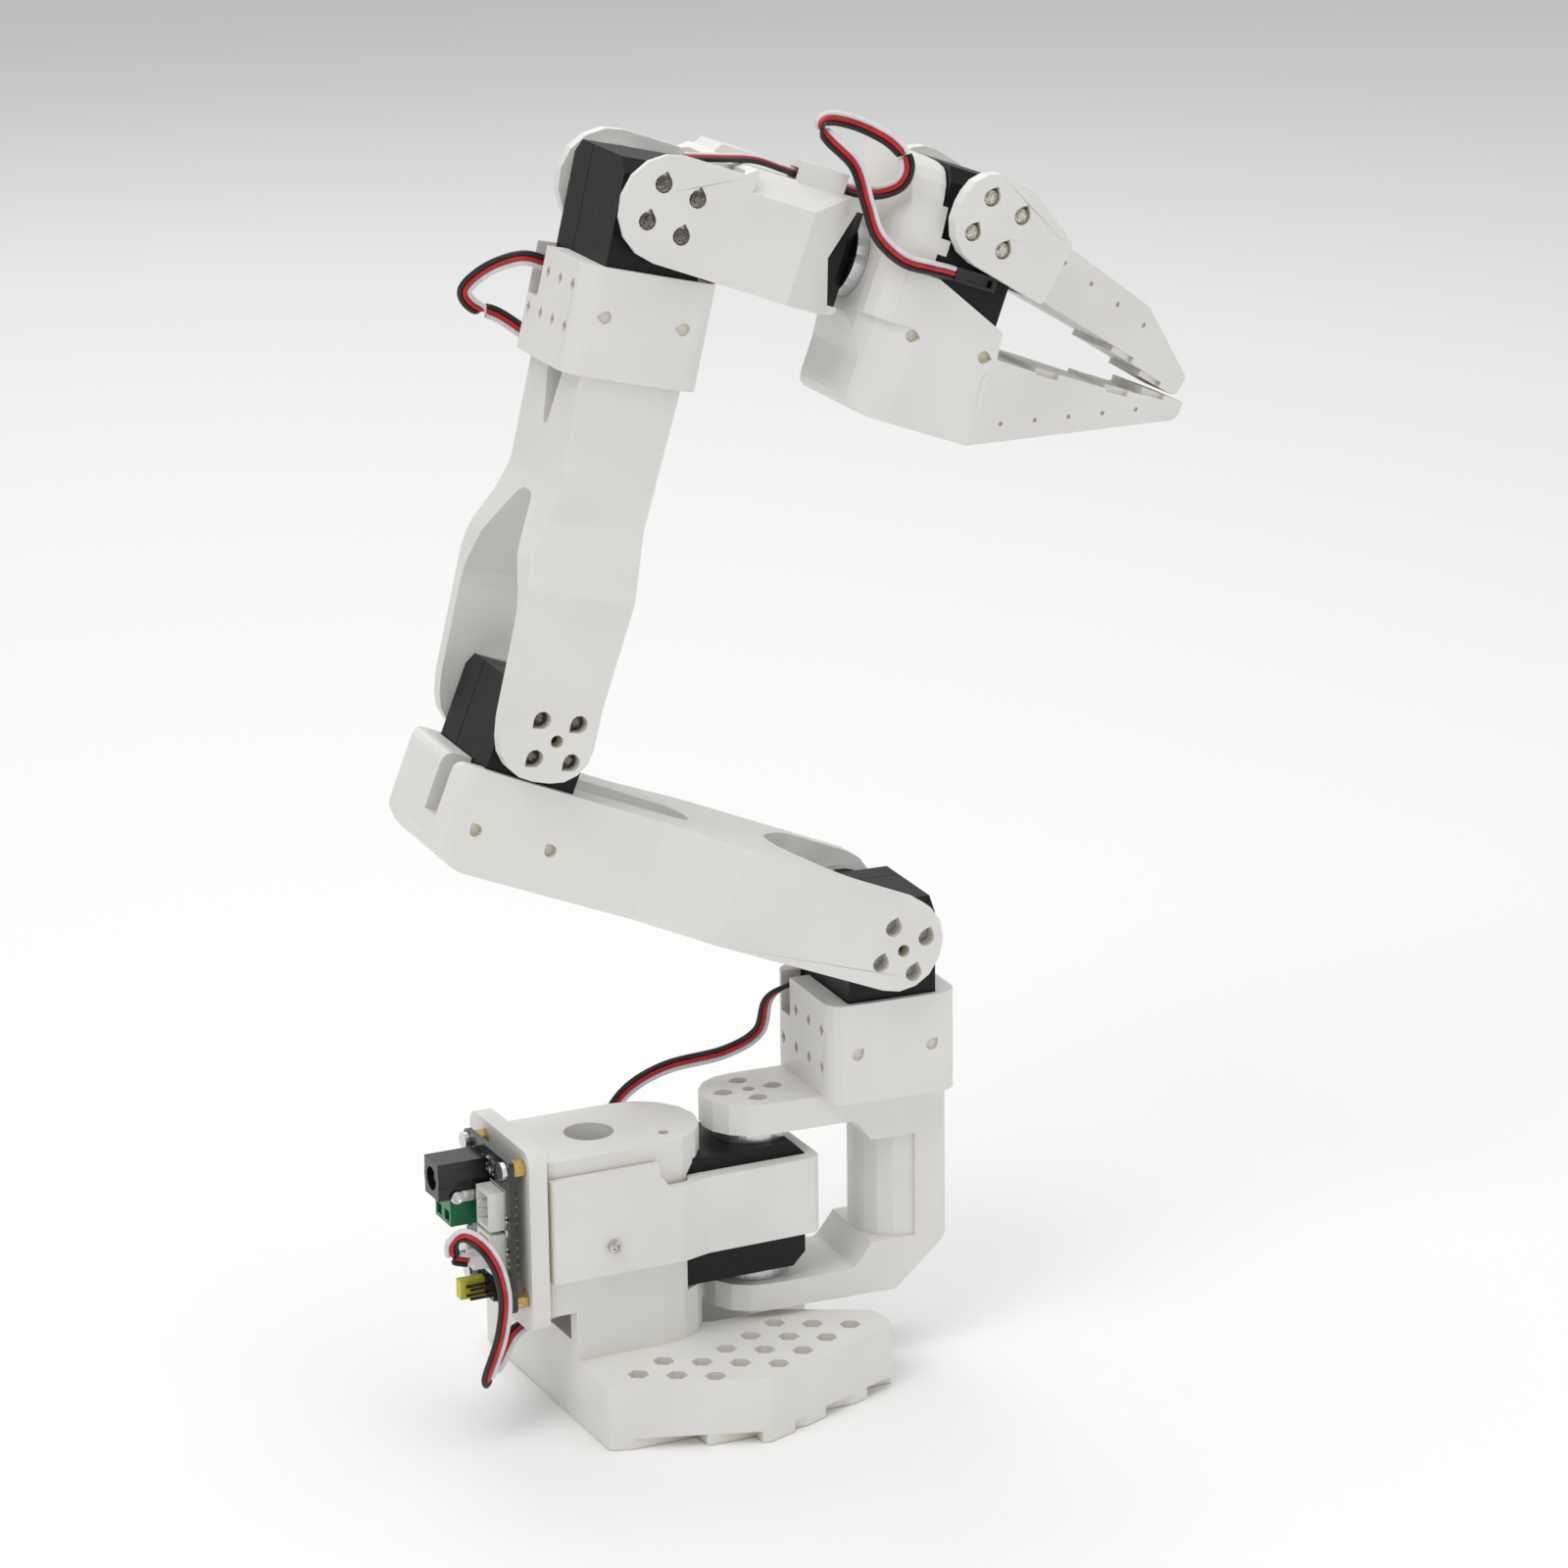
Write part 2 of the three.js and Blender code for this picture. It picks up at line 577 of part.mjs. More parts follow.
function makeLowerArm() {
  const [wx, , wz] = WRIST_AXIS;
  const boxLow = wx - 44.2;
  const boxTop = wx - 16.8;
  const side = sideways([[-10.8, -10, 10], [10, -10.4, 8], [39, -13.4, 8], [92, -17.2, 0],
    [92, 10, 0], [62, 9.6, 12], [44, 15.6, 14], [4, 15.8, 12], [-10.8, 14, 11]],
  -FORK_OUT, FORK_OUT);
  const plan = upright([
    [-14, -FORK_OUT, 1.5], [37, -FORK_OUT, 4], [54, -18.6, 6], [93, -17.4, 0],
    [93, 17.4, 0], [54, 18.6, 6], [37, FORK_OUT, 4], [-14, FORK_OUT, 1.5],
  ], -30, 30);
  let body = side.intersect(plan);
  // The fork's gap narrows to an arch.
  body = body.subtract(upright([[-30, -FORK_IN, 0], [32, -FORK_IN, 14], [58, -4, 5],
    [58, 4, 5], [32, FORK_IN, 14], [-30, FORK_IN, 0]], -30, 30));
  // Tapered wiring slot below the box.
  body = body.subtract(upright([[71, 0, 1.5], [92, -6, 0], [92, 6, 0]], -30, 30));
  // Hole in the far wall, where the wrist servo's lead goes back in.
  body = body.subtract(rod('y', 88.5, -2, 3, 30, 3, 16));
  // The box of the wrist servo.
  const housing = lengthways(rectangle(-BOX_HALF_Y, BOX_HALF_Y, wz - BOX_HALF_X, wz + BOX_HALF_X,
    5), boxLow, boxTop);
  body = body.add(housing);
  body = body.subtract(box(wx - SERVO_TAIL - GAP, boxTop + 1, -POCKET_HALF_Y, POCKET_HALF_Y,
    wz - POCKET_HALF_X, wz + POCKET_HALF_X));
  // Cable slot in the rear wall.
  body = body.subtract(box(wx - 30, boxTop + 1, 8.5, 16.5, wz, wz + 30));
  body = subtractAll(body, [...hornHoles(-30, 30, 0, 135), centreHole(-30, 30)]);
  const place = (cut) => cut.rotate([0, 90, 0]).translate([wx, 0, wz]);
  body = subtractAll(body, ventHoles(-30, -8, 28.1).map(place));
  for (const s of [-1, 1]) {
    body = subtractAll(body, caseHoles(s, 29, 180).map(place));
  }
  return body;
}

// ---- wrist bracket, along +X from the wrist axis -----------------------------------------

const ROLL_FACE_X = ROLL_FACE[0] - HORN_THICK; // output face of the roll servo
const ROLL_BACK_X = ROLL_FACE_X - SERVO_THICK;
const ROOF_TOP = 15.6;
const ROOF_FRONT = 55.5;

function makeWristBracket() {
  const outer = 24.6;
  const near = -22.6;
  const facetStart = 36.7;
  const facetEnd = [53.4, -11.7]; // x, y
  const lobes = [[-13.8, -13.6, 13.4], [20, -14.1, 0], [52.6, -14.8, 1], [52.6, 13.6, 0],
    [-13.8, 13.6, 13.4]];
  let body = sideways(lobes, near, outer);
  body = body.add(sideways([[15, -12, 0], [ROOF_FRONT, -14.6, 2], [ROOF_FRONT, ROOF_TOP, 1.5],
    [18.5, ROOF_TOP, 1], [15, 13, 0]], near, outer));
  // The near wall leans in at its top edge and towards its front.
  body = body.subtract(lengthways([[near - 1, 9], [near, 9.7], [-14.5, ROOF_TOP + 0.1],
    [-14.5, 20], [near - 1, 20]], 19, 60));
  body = body.subtract(upright([[facetStart, near - 0.1], facetEnd, [60, facetEnd[1]],
    [60, near - 0.1]], -30, 30));
  // Notch in the front of the near wall, pointed at the back.
  body = body.subtract(sideways([[46.9, -0.6], [52.4, -12.2], [60, -12.2], [60, 12.4],
    [52.4, 12.4]], near - 1, -SERVO_HEAD));
  // The fork's gap.
  body = body.subtract(upright(rectangle(-30, 16.8, -FORK_IN, FORK_IN, 2), -30, 30));
  // Pocket of the roll servo, open at the far side and at the front.
  body = body.subtract(box(ROLL_BACK_X - GAP, 80, -SERVO_HEAD - GAP, 60, -POCKET_HALF_X,
    POCKET_HALF_X));
  // Raised guide at the far side of the roof, and the cable clip in front of it.
  body = body.add(sideways([[16.8, 12.8], [34, 12.8], [34, 17.9], [20.5, 17.9]], 8, 22));
  const clip = box(33, 46, -15.2, -6, ROOF_TOP - 2, 20.6);
  body = body.add(clip.subtract(box(32, 47, -13.3, -7.9, ROOF_TOP, 18.6)));
  body = subtractAll(body, hornHoles(-40, 40, -7, 90));
  return body;
}

// ---- gripper body with the fixed jaw, along +X from the roll servo's horn ----------------

const JAW_TIP = 102.2;
const JAW_TAPER = 0.198; // of each side of the fixed jaw
const JAW_ROOT = 38;
// Steps of the fixed jaw's gripping face: where each starts, and its height.
const JAW_STEPS = [[52.3, -11.9], [75.5, -11.2], [87.4, -9.4]];
const STEP_NOTCH = 7; // length of the recess at the start of each step
const NOTCH_DEPTH = 1.6;
const CHEEK_TOP = 2.7; // where the slanted edge beside the jaw servo starts

// Recess in each side of a blade, whose side is at distance from the middle at x0.
function stepNotches(x0, distance, taper, z0, z1) {
  const x1 = x0 + STEP_NOTCH;
  const inner = distance - NOTCH_DEPTH;
  const turn = taper * STEP_NOTCH;
  return bothSides((s) => upright([[x0 - 0.01, s * inner], [x1, s * (inner - turn)],
    [x1, s * (distance + 3)], [x0 - 0.01, s * (distance + 3)]], z0, z1));
}

function makeGripperBody() {
  const half = BOX_HALF_Y + 0.7;
  const [jx, , jz] = JAW_AXIS;
  const cheek = 13.4; // front of the wall beside the jaw servo
  // Rounded wall that is screwed to the roll servo's horn.
  const wallOutline = [[-half, -11, 0], [half, -11, 0], [half, 10, 4], [15.5, 30.7, 11],
    [-15.5, 30.7, 11], [-half, 10, 4]];
  const wallPlan = upright([[0.4, -half, 8], [cheek, -half], [cheek, half], [0.4, half, 8]],
    -20, 40);
  const wallSide = sideways([[0, -20], [cheek, -20], [cheek, 30.7, 5], [0, 30.7]], -30, 30);
  const wall = lengthways(wallOutline, 0.4, cheek).intersect(wallPlan).intersect(wallSide);
  // Bucket below the wall.
  const bucketSide = sideways([[0.4, CHEEK_TOP], [0.4, -13, 3], [3.8, -22, 8], [3.6, -35.7, 5],
    [38.4, -35.8, 1.5], [36, -18.6, 1], [38.8, -12.6, 1], [37.9, -5.7, 1], [16.3, CHEEK_TOP]],
  -half, half);
  const bucketPlan = upright([[0.4, -half, 14], [40, -half, 2], [40, half, 2], [0.4, half, 14]],
    -40, 10);
  const bucket = bucketSide.intersect(bucketPlan);
  // Flat cheeks beside the jaw servo, behind the slanted edge.
  const cheeks = box(7.4, 16, -half, half, -11, CHEEK_TOP);
  // Fixed jaw: a blade that narrows to its tip, with a stepped gripping face.
  const [first, second, third] = JAW_STEPS;
  const bladeSide = sideways([[20, -35.6], [JAW_ROOT, -35.8, 1], [JAW_TIP - 2.4, -15.3, 4],
    [JAW_TIP, -12.6, 1.5], [JAW_TIP, -10.3, 1.2], [third[0], third[1] + 0.1],
    [third[0], second[1] - 0.1], [second[0], second[1]], [second[0], first[1] - 0.3],
    [first[0], first[1]], [first[0], -13.1], [JAW_ROOT, -12.6], [20, -12.6]], -half, half);
  const tipHalf = half - (JAW_TIP - JAW_ROOT) * JAW_TAPER;
  const bladePlan = upright([[20, -17], [JAW_ROOT, -half], [JAW_TIP, -tipHalf, 4],
    [JAW_TIP, tipHalf, 4], [JAW_ROOT, half], [20, 17]], -40, 0);
  let body = union(wall, cheeks, bucket, bladeSide.intersect(bladePlan));
  for (const [x, z] of JAW_STEPS) {
    const distance = half - (x - JAW_ROOT) * JAW_TAPER;
    body = subtractAll(body, stepNotches(x, distance, JAW_TAPER, z - 1.7, z + 3));
  }
  // Pocket of the jaw servo.
  body = body.subtract(box(jx - POCKET_HALF_X, jx + POCKET_HALF_X, -POCKET_HALF_Y, POCKET_HALF_Y,
    jz - SERVO_TAIL - GAP, 60));
  // Hollow under the bucket floor.
  body = body.subtract(upright(rectangle(8, 34, -15, 15, 5), -50, -19));
  // Cable tabs on the front of the wall.
  body = body.add(box(9, 16, -half + 0.1, -POCKET_HALF_Y - 0.3, 8.5, 12.5));
  for (const s of [-1, 1]) {
    const place = (cut) => cut.translate([jx, 0, jz]);
    body = subtractAll(body, caseHoles(s, 33.2, 0).map(place));
  }
  // Dimples along both sides of the blade.
  for (let i = 0; i < 5; i += 1) {
    const x = 46.2 + i * 10.1;
    const z = -28.1 + i * 3.2;
    const y = half - (x - JAW_ROOT) * JAW_TAPER;
    body = body.subtract(rod('y', x, z, -y - 1, -y + 0.8, 0.7, 6));
  }
  // Screw holes of the roll horn.
  const quarter = (cut) => cut.rotate([0, 0, 90]);
  body = subtractAll(body, [...hornHoles(-15, 1, 0, 90), centreHole(-15, 1)].map(quarter));
  return body;
}

// ---- moving jaw, along +X from the jaw axis ----------------------------------------------

const MOVING_TIP = 80;
const MOVING_ROOT = 19;
const MOVING_TAPER = 0.239;
const MOVING_STEPS = [[52.9, -11.7], [65, -13.3]];

function makeMovingJaw() {
  const rootHalf = 21.5;
  const plate = sideways([[-11.8, -11.8, 11.6], [22, -11.6, 1], [21.5, 5.5, 2], [5, 11.8, 5],
    [-11.8, 11.8, 9]], -FORK_OUT, FORK_OUT);
  let fork = plate.subtract(box(-30, 18.6, -FORK_IN, FORK_IN, -30, 30));
  fork = fork.subtract(rod('y', 0, 0, -FORK_IN, FORK_IN, 18.6, 40));
  const [first, second] = MOVING_STEPS;
  const bladeSide = sideways([[MOVING_ROOT, -10.4], [first[0], -10.2], [first[0], first[1]],
    [second[0], first[1]], [second[0], second[1]], [MOVING_TIP - 3, second[1] + 0.2, 2],
    [MOVING_TIP, -11.5, 1], [MOVING_TIP, -7.8, 2.5], [56, 3.1, 2], [MOVING_ROOT, 5.2]],
  -FORK_OUT, FORK_OUT);
  const tipHalf = rootHalf - (MOVING_TIP - MOVING_ROOT) * MOVING_TAPER;
  const bladePlan = upright([[MOVING_ROOT, -rootHalf], [MOVING_TIP, -tipHalf, 4],
    [MOVING_TIP, tipHalf, 4], [MOVING_ROOT, rootHalf]], -30, 30);
  let body = fork.add(bladeSide.intersect(bladePlan));
  for (const [x, z] of MOVING_STEPS) {
    const distance = rootHalf - (x - MOVING_ROOT) * MOVING_TAPER;
    body = subtractAll(body, stepNotches(x, distance, MOVING_TAPER, z - 3, z + 1.5));
  }
  for (let i = 0; i < 4; i += 1) {
    const x = 24.3 + i * 11;
    const y = rootHalf - (x - MOVING_ROOT) * MOVING_TAPER;
    body = body.subtract(rod('y', x, 0.9 - i * 0.85, -y - 1, -y + 0.8, 0.7, 6));
  }
  body = subtractAll(body, hornHoles(-40, 40, 0, 90));
  return body;
}

// ---- servo leads -------------------------------------------------------------------------

// Flat three-wire lead: an oblong section swept along a smooth curve.
const LEAD_WIDTH = 3.9;
const LEAD_THICK = 1.5;

function lead(points, steps) {
  const curve = new THREE.CatmullRomCurve3(points.map((p) => new THREE.Vector3(...p)));
  const w = LEAD_WIDTH / 2;
  const t = LEAD_THICK / 2;
  const c = 0.5; // corner chamfer
  const section = roundedShape([[-w + c, -t], [w - c, -t], [w, -t + c], [w, t - c],
    [w - c, t], [-w + c, t], [-w, t - c], [-w, -t + c]]);
  return solid(new THREE.ExtrudeGeometry(section, { steps, extrudePath: curve }));
}

// From the plug in the lower servo socket, down, and in under the mounting plate.
function makeBoardLead() {
  return lead([
    [-84.9, -10.6, 48.5], [-88.8, -10.8, 50.2], [-89.6, -11.8, 54.4], [-87, -14.4, 57],
    [-83.4, -18.2, 54.4], [-80.6, -20.6, 48.5], [-79.4, -21.6, 40], [-80.6, -21, 30],
    [-83.2, -18.6, 19.5], [-82.6, -16, 16.8], [-78, -12.4, 19.6], [-71.4, -7, 24.4],
    [-64, -4, 25.3], [-57, -3, 26.2],
  ], 20);
}

// From the lift servo, over the top of the tower's far edge, to the hole in its far wall.
function makeShoulderLead() {
  return lead([
    [20, 10.5, 100.6], [15.6, 10.7, 100.2], [11, 11.2, 97], [8.4, 11.7, 88.5], [-1, 13.2, 83.8],
    [-16.7, 16.5, 81], [-27, 20.6, 74], [-33, 23.4, 62], [-40, 24, 46], [-45, 22.4, 36.6],
    [-46, 17.5, 34.2], [-46, 11.5, 33.8],
  ], 18);
}

// From the wrist servo, in a loop behind its box, to the hole in the arm's far wall.
function makeArmLead() {
  return lead([
    [113, 12.5, 12], [113.4, 13.4, 19], [109, 17.4, 25.6], [102.6, 21, 29.4], [98.6, 22.8, 26],
    [96.8, 24.4, 18], [92.6, 25.2, 8], [89.4, 23, 0], [88.5, 17, -2], [88.5, 7.5, -2],
  ], 14);
}

// From the wrist servo into the clip on the wrist bracket.
function makeWristLead() {
  return lead([[4, -10.6, 12.9], [12, -10.8, 15], [21.7, -10.8, 17.3], [30, -10.7, 17.2],
    [37.6, -10.6, 17.05]], 7);
}

// From the clip, in a loop, along the near side of the gripper, to the jaw servo's socket.
function makeGripperLead() {
  return lead([
    [38, -10.6, 17.05], [42, -10.6, 17.25], [46.5, -10.7, 17.1], [54, -14.4, 18.2],
    [58, -19.2, 22.4],
    [57.4, -20.6, 28], [52.6, -18.8, 31.8], [44.6, -15.2, 33.4], [37.6, -12.8, 32.8],
    [35.4, -12.6, 30.2], [38.8, -13.8, 27.6], [46, -17, 23.4], [50.6, -20.6, 15.4],
    [55, -23.4, 8.6], [63, -24.4, 4.9], [71.5, -23.2, 4.9], [76, -21, 5], [79.7, -19.8, 5],
  ], 30);
}

// Plug of the board lead, seated in the lower socket.
function makeBoardPlug() {
  return box(-84.5, -78, -13.3, -7.9, 46.6, 50.4);
}

// Three-pin socket on the near face of the jaw servo, open to the back, in the gripper frame.
function makeJawSocket() {
  const body = box(20, 32, -20.3, -FACE - GAP, 3.2, 7);
  return body.subtract(box(23.4, 30.6, -21, -18.8, 4.1, 6.1));
}

// ---- assembly ----------------------------------------------------------------------------

function frameAt(parent, position, turnDegrees) {
  const group = new THREE.Group();
  group.position.set(...position);
  group.rotation.y = -rad(turnDegrees);
  parent.add(group);
  return group;
}

// A group whose own X, Y and Z axes point along three directions of its parent.
function turned(parent, position, x, y, z) {
  const group = new THREE.Group();
  const axes = [x, y, z].map((v) => new THREE.Vector3(...v));
  group.quaternion.setFromRotationMatrix(new THREE.Matrix4().makeBasis(...axes));
  group.position.set(...position);
  parent.add(group);
  return group;
}

const robot = new THREE.Group();
const arm = new THREE.Group();
arm.position.x = PAN_AXIS_X;
robot.add(arm);

arm.add(meshOf('base', makeBase(), 'printed'));
arm.add(meshOf('pan_servo_holder', makeServoHolder(), 'printed'));
arm.add(meshOf('holder_screw_right', makeHolderScrew(-1), 'steel'));
arm.add(meshOf('holder_screw_left', makeHolderScrew(1), 'steel'));
arm.add(meshOf('board_mounting_plate', makeMountingPlate(), 'printed'));
arm.add(meshOf('controller_board', makeBoard(), 'board'));
boardCorners().forEach(([y, z], i) => {
  arm.add(meshOf(`board_standoff_${i + 1}`, makeStandoff(y, z), 'brass'));
  arm.add(meshOf(`board_screw_${i + 1}`, makeBoardScrew(y, z), 'steel'));
});
arm.add(meshOf('power_jack', makePowerJack(), 'black'));
arm.add(meshOf('screw_terminal', makeScrewTerminal(), 'green'));
arm.add(meshOf('usb_port', makeUsbPort(), 'steel'));
arm.add(meshOf('servo_socket_upper', makeServoSocket(62), 'socket'));
arm.add(meshOf('servo_socket_lower', makeServoSocket(50.5), 'socket'));
arm.add(meshOf('pin_header', makePinHeader(), 'black'));
arm.add(meshOf('jumper_cap', makeJumper(), 'yellow'));
arm.add(meshOf('board_plug', makeBoardPlug(), 'socket'));
arm.add(meshOf('lead_board', makeBoardLead(), 'lead'));
arm.add(meshOf('lead_shoulder', makeShoulderLead(), 'lead'));

// The pan servo lies with its shaft upright, tail to the back.
const panServo = turned(arm, [0, 0, PAN_SERVO_LOW + FACE], [0, 1, 0], [0, 0, 1], [1, 0, 0]);
addServo(panServo, 'pan');

const shoulder = new THREE.Group();
shoulder.rotation.z = rad(PAN_REST);
arm.add(shoulder);
shoulder.add(meshOf('shoulder_bracket', makeShoulderBracket(), 'printed'));
const panHorns = turned(shoulder, [0, 0, PAN_SERVO_LOW + FACE], [0, 1, 0], [0, 0, 1], [1, 0, 0]);
addHorns(panHorns, 'pan');

const liftServo = frameAt(shoulder, LIFT_AXIS, 0);
addServo(liftServo, 'lift');

const upperArm = frameAt(shoulder, LIFT_AXIS, UPPER_REST);
upperArm.add(meshOf('upper_arm', makeUpperArm(), 'printed'));
addHorns(upperArm, 'lift');
// The elbow servo stands out of the top of the upper arm.
addServo(frameAt(upperArm, ELBOW_AXIS, 180), 'elbow');

const lowerArm = frameAt(upperArm, ELBOW_AXIS, LOWER_REST - UPPER_REST);
lowerArm.add(meshOf('lower_arm', makeLowerArm(), 'printed'));
addHorns(lowerArm, 'elbow');
addServo(frameAt(lowerArm, WRIST_AXIS, -90), 'wrist');
lowerArm.add(meshOf('lead_lower_arm', makeArmLead(), 'lead'));

const wrist = frameAt(lowerArm, WRIST_AXIS, WRIST_REST - LOWER_REST);
wrist.add(meshOf('wrist_bracket', makeWristBracket(), 'printed'));
addHorns(wrist, 'wrist');
wrist.add(meshOf('lead_wrist', makeWristLead(), 'lead'));
wrist.add(meshOf('lead_gripper', makeGripperLead(), 'lead'));
// The roll servo points its shaft along the wrist, with its tail to the far side.
const rollServo = turned(wrist, [ROLL_FACE_X - FACE, 0, 0], [0, 0, -1], [1, 0, 0], [0, -1, 0]);
addServo(rollServo, 'roll');

const gripper = frameAt(wrist, ROLL_FACE, 0);
gripper.add(meshOf('gripper_body', makeGripperBody(), 'printed'));
const rollHorn = turned(gripper, [-HORN_THICK - FACE, 0, 0], [0, 0, -1], [1, 0, 0], [0, -1, 0]);
rollHorn.add(meshOf('roll_drive_horn', horn(1), 'alloy'));
addServo(frameAt(gripper, JAW_AXIS, 0), 'jaw');
gripper.add(meshOf('jaw_servo_socket', makeJawSocket(), 'black'));

const movingJaw = frameAt(gripper, JAW_AXIS, JAW_REST - WRIST_REST);
movingJaw.add(meshOf('moving_jaw', makeMovingJaw(), 'printed'));
addHorns(movingJaw, 'jaw');

export default robot;
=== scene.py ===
"""Five-axis desktop robot arm with a two-jaw gripper: camera, light, materials and fine pieces."""

import json
import math

import bmesh
import bpy
from mathutils import Matrix, Vector


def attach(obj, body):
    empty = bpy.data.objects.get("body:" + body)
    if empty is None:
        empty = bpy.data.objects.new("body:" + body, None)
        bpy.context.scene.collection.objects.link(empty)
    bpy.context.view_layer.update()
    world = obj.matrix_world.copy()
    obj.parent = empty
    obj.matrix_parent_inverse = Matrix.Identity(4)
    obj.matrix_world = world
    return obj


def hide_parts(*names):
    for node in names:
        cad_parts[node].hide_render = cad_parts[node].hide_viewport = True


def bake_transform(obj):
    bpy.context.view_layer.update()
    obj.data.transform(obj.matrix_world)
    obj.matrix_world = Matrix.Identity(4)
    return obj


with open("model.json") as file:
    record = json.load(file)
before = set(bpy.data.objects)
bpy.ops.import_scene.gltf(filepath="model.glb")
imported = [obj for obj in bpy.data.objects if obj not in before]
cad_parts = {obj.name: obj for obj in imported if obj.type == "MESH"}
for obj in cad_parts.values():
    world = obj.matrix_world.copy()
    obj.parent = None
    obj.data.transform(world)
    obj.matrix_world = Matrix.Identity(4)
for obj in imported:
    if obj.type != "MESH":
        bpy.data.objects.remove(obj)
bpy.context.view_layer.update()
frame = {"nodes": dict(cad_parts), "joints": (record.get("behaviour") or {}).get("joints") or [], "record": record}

MM = 0.001

# ---- places, in millimetres, as the CAD has them -------------------------------------------------

PAN_REST = -3
UPPER_REST = 158.07
LOWER_REST = 76.64
WRIST_REST = -20.11
JAW_REST = -32.55
PAN_AXIS_X = 40
SHAFT_HEIGHT = 48.3  # middle of the pan servo
FACE = 17.5  # from the middle of a servo to its face
HORN_HOLE_PITCH = 9.9
HORN_SCREW_HEAD = 1.95
HORN_SCREW_DOME = 1.5
HORN_SCREW_SHANK = 1.1
HOLDER_SCREW_HEAD = 1.6
HOLDER_SCREW_X = -48
HOLDER_SCREW_Z = 49
HOLDER_SCREW_OUT = 20.95

JOINTS = {joint["name"]: joint for joint in frame["joints"]}
BASE = Matrix.Translation((PAN_AXIS_X * MM, 0, 0))
PAN = BASE @ Matrix.Rotation(math.radians(PAN_REST), 4, "Z")


def link(joint, degrees):
    """The frame of a link: origin on its joint, +X along the link, +Y along the joint's axis."""
    turn = math.radians(degrees)
    axes = Matrix(((math.cos(turn), 0, -math.sin(turn)), (0, 1, 0),
                   (math.sin(turn), 0, math.cos(turn)))).to_4x4()
    spin = Matrix.Rotation(math.radians(PAN_REST), 4, "Z")
    return Matrix.Translation(JOINTS[joint]["pos_m"]) @ spin @ axes


UPPER = link("shoulder_lift", UPPER_REST)
LOWER = link("elbow", LOWER_REST)
WRIST = link("wrist_flex", WRIST_REST)
GRIPPER = link("wrist_roll", WRIST_REST)
JAW = link("jaw", JAW_REST)


def basis(place, x, y, z):
    """A frame inside another: its origin in millimetres and the directions of its axes."""
    turn = Matrix((x, y, z)).transposed().to_4x4()
    return Matrix.Translation(Vector(place) * MM) @ turn


def at(frame_matrix, point):
    """A point given in millimetres in a frame, as a point in metres in the part's frame."""
    return frame_matrix @ (Vector(point) * MM)


# ---- camera, floor and light ---------------------------------------------------------------------

CAMERA_PLACE = (-0.4968, -1.1586, 0.5450)
CAMERA_YAW = 64.68
CAMERA_PITCH = -16.72
CAMERA_ROLL = -0.66
CAMERA_LENS = 118.19


def add_camera():
    yaw, pitch, roll = (math.radians(v) for v in (CAMERA_YAW, CAMERA_PITCH, CAMERA_ROLL))
    ahead = Vector((math.cos(pitch) * math.cos(yaw), math.cos(pitch) * math.sin(yaw),
                    math.sin(pitch)))
    level = Vector((math.sin(yaw), -math.cos(yaw), 0))
    above = level.cross(ahead)
    right = level * math.cos(roll) + above * math.sin(roll)
    up = above * math.cos(roll) - level * math.sin(roll)
    data = bpy.data.cameras.new("camera")
    data.lens = CAMERA_LENS
    data.sensor_width = 36
    camera = bpy.data.objects.new("camera", data)
    turn = Matrix((right, up, -ahead)).transposed().to_4x4()
    camera.matrix_world = Matrix.Translation(CAMERA_PLACE) @ turn
    bpy.context.scene.collection.objects.link(camera)
    bpy.context.scene.camera = camera


def add_area_light(name, place, target, size, power, colour):
    data = bpy.data.lights.new(name, "AREA")
    data.shape = "DISK"
    data.size = size
    data.energy = power
    data.color = colour
    light = bpy.data.objects.new(name, data)
    light.location = place
    aim = Vector(target) - Vector(place)
    light.rotation_euler = aim.to_track_quat("-Z", "Y").to_euler()
    bpy.context.scene.collection.objects.link(light)


WHITE = (1, 1, 1)
LIGHT_TARGET = (0.05, 0, 0.17)
AREA_LIGHTS = (  # name, place in metres, disc size in metres, watts, colour
    ("key", (-1.0, -0.6, 1.7), 1.1, 10, (1, 0.985, 0.96)),
    ("overhead", (0.2, 0.1, 1.9), 1.6, 12, WHITE),
    ("fill", (0.9, -1.6, 0.7), 1.4, 3, WHITE),
    ("rim", (0.3, 1.5, 1.3), 1.2, 5, WHITE),
)
WORLD_STRENGTH = 0.45
FLOOR_RADIUS = 9
FLOOR_GAP = 0.0002


def add_studio():
    world = bpy.data.worlds.new("studio")
    world.use_nodes = True
    back = world.node_tree.nodes["Background"]
    back.inputs["Color"].default_value = (1, 1, 1, 1)
    back.inputs["Strength"].default_value = WORLD_STRENGTH
    bpy.context.scene.world = world
    for name, place, size, power, colour in AREA_LIGHTS:
        add_area_light(name, place, LIGHT_TARGET, size, power, colour)
    bpy.ops.mesh.primitive_circle_add(vertices=96, radius=FLOOR_RADIUS, fill_type="NGON")
    floor = bpy.context.object
    floor.name = "floor"
    floor.location = (0, 0, -FLOOR_GAP)
    paint = bpy.data.materials.new("floor_pale")
    paint.use_nodes = True
    shader = paint.node_tree.nodes["Principled BSDF"]
    shader.inputs["Base Color"].default_value = (1, 1, 1, 1)
    shader.inputs["Roughness"].default_value = 0.9
    floor.data.materials.append(paint)
    bpy.context.scene.view_settings.view_transform = "Standard"


# ---- materials -----------------------------------------------------------------------------------

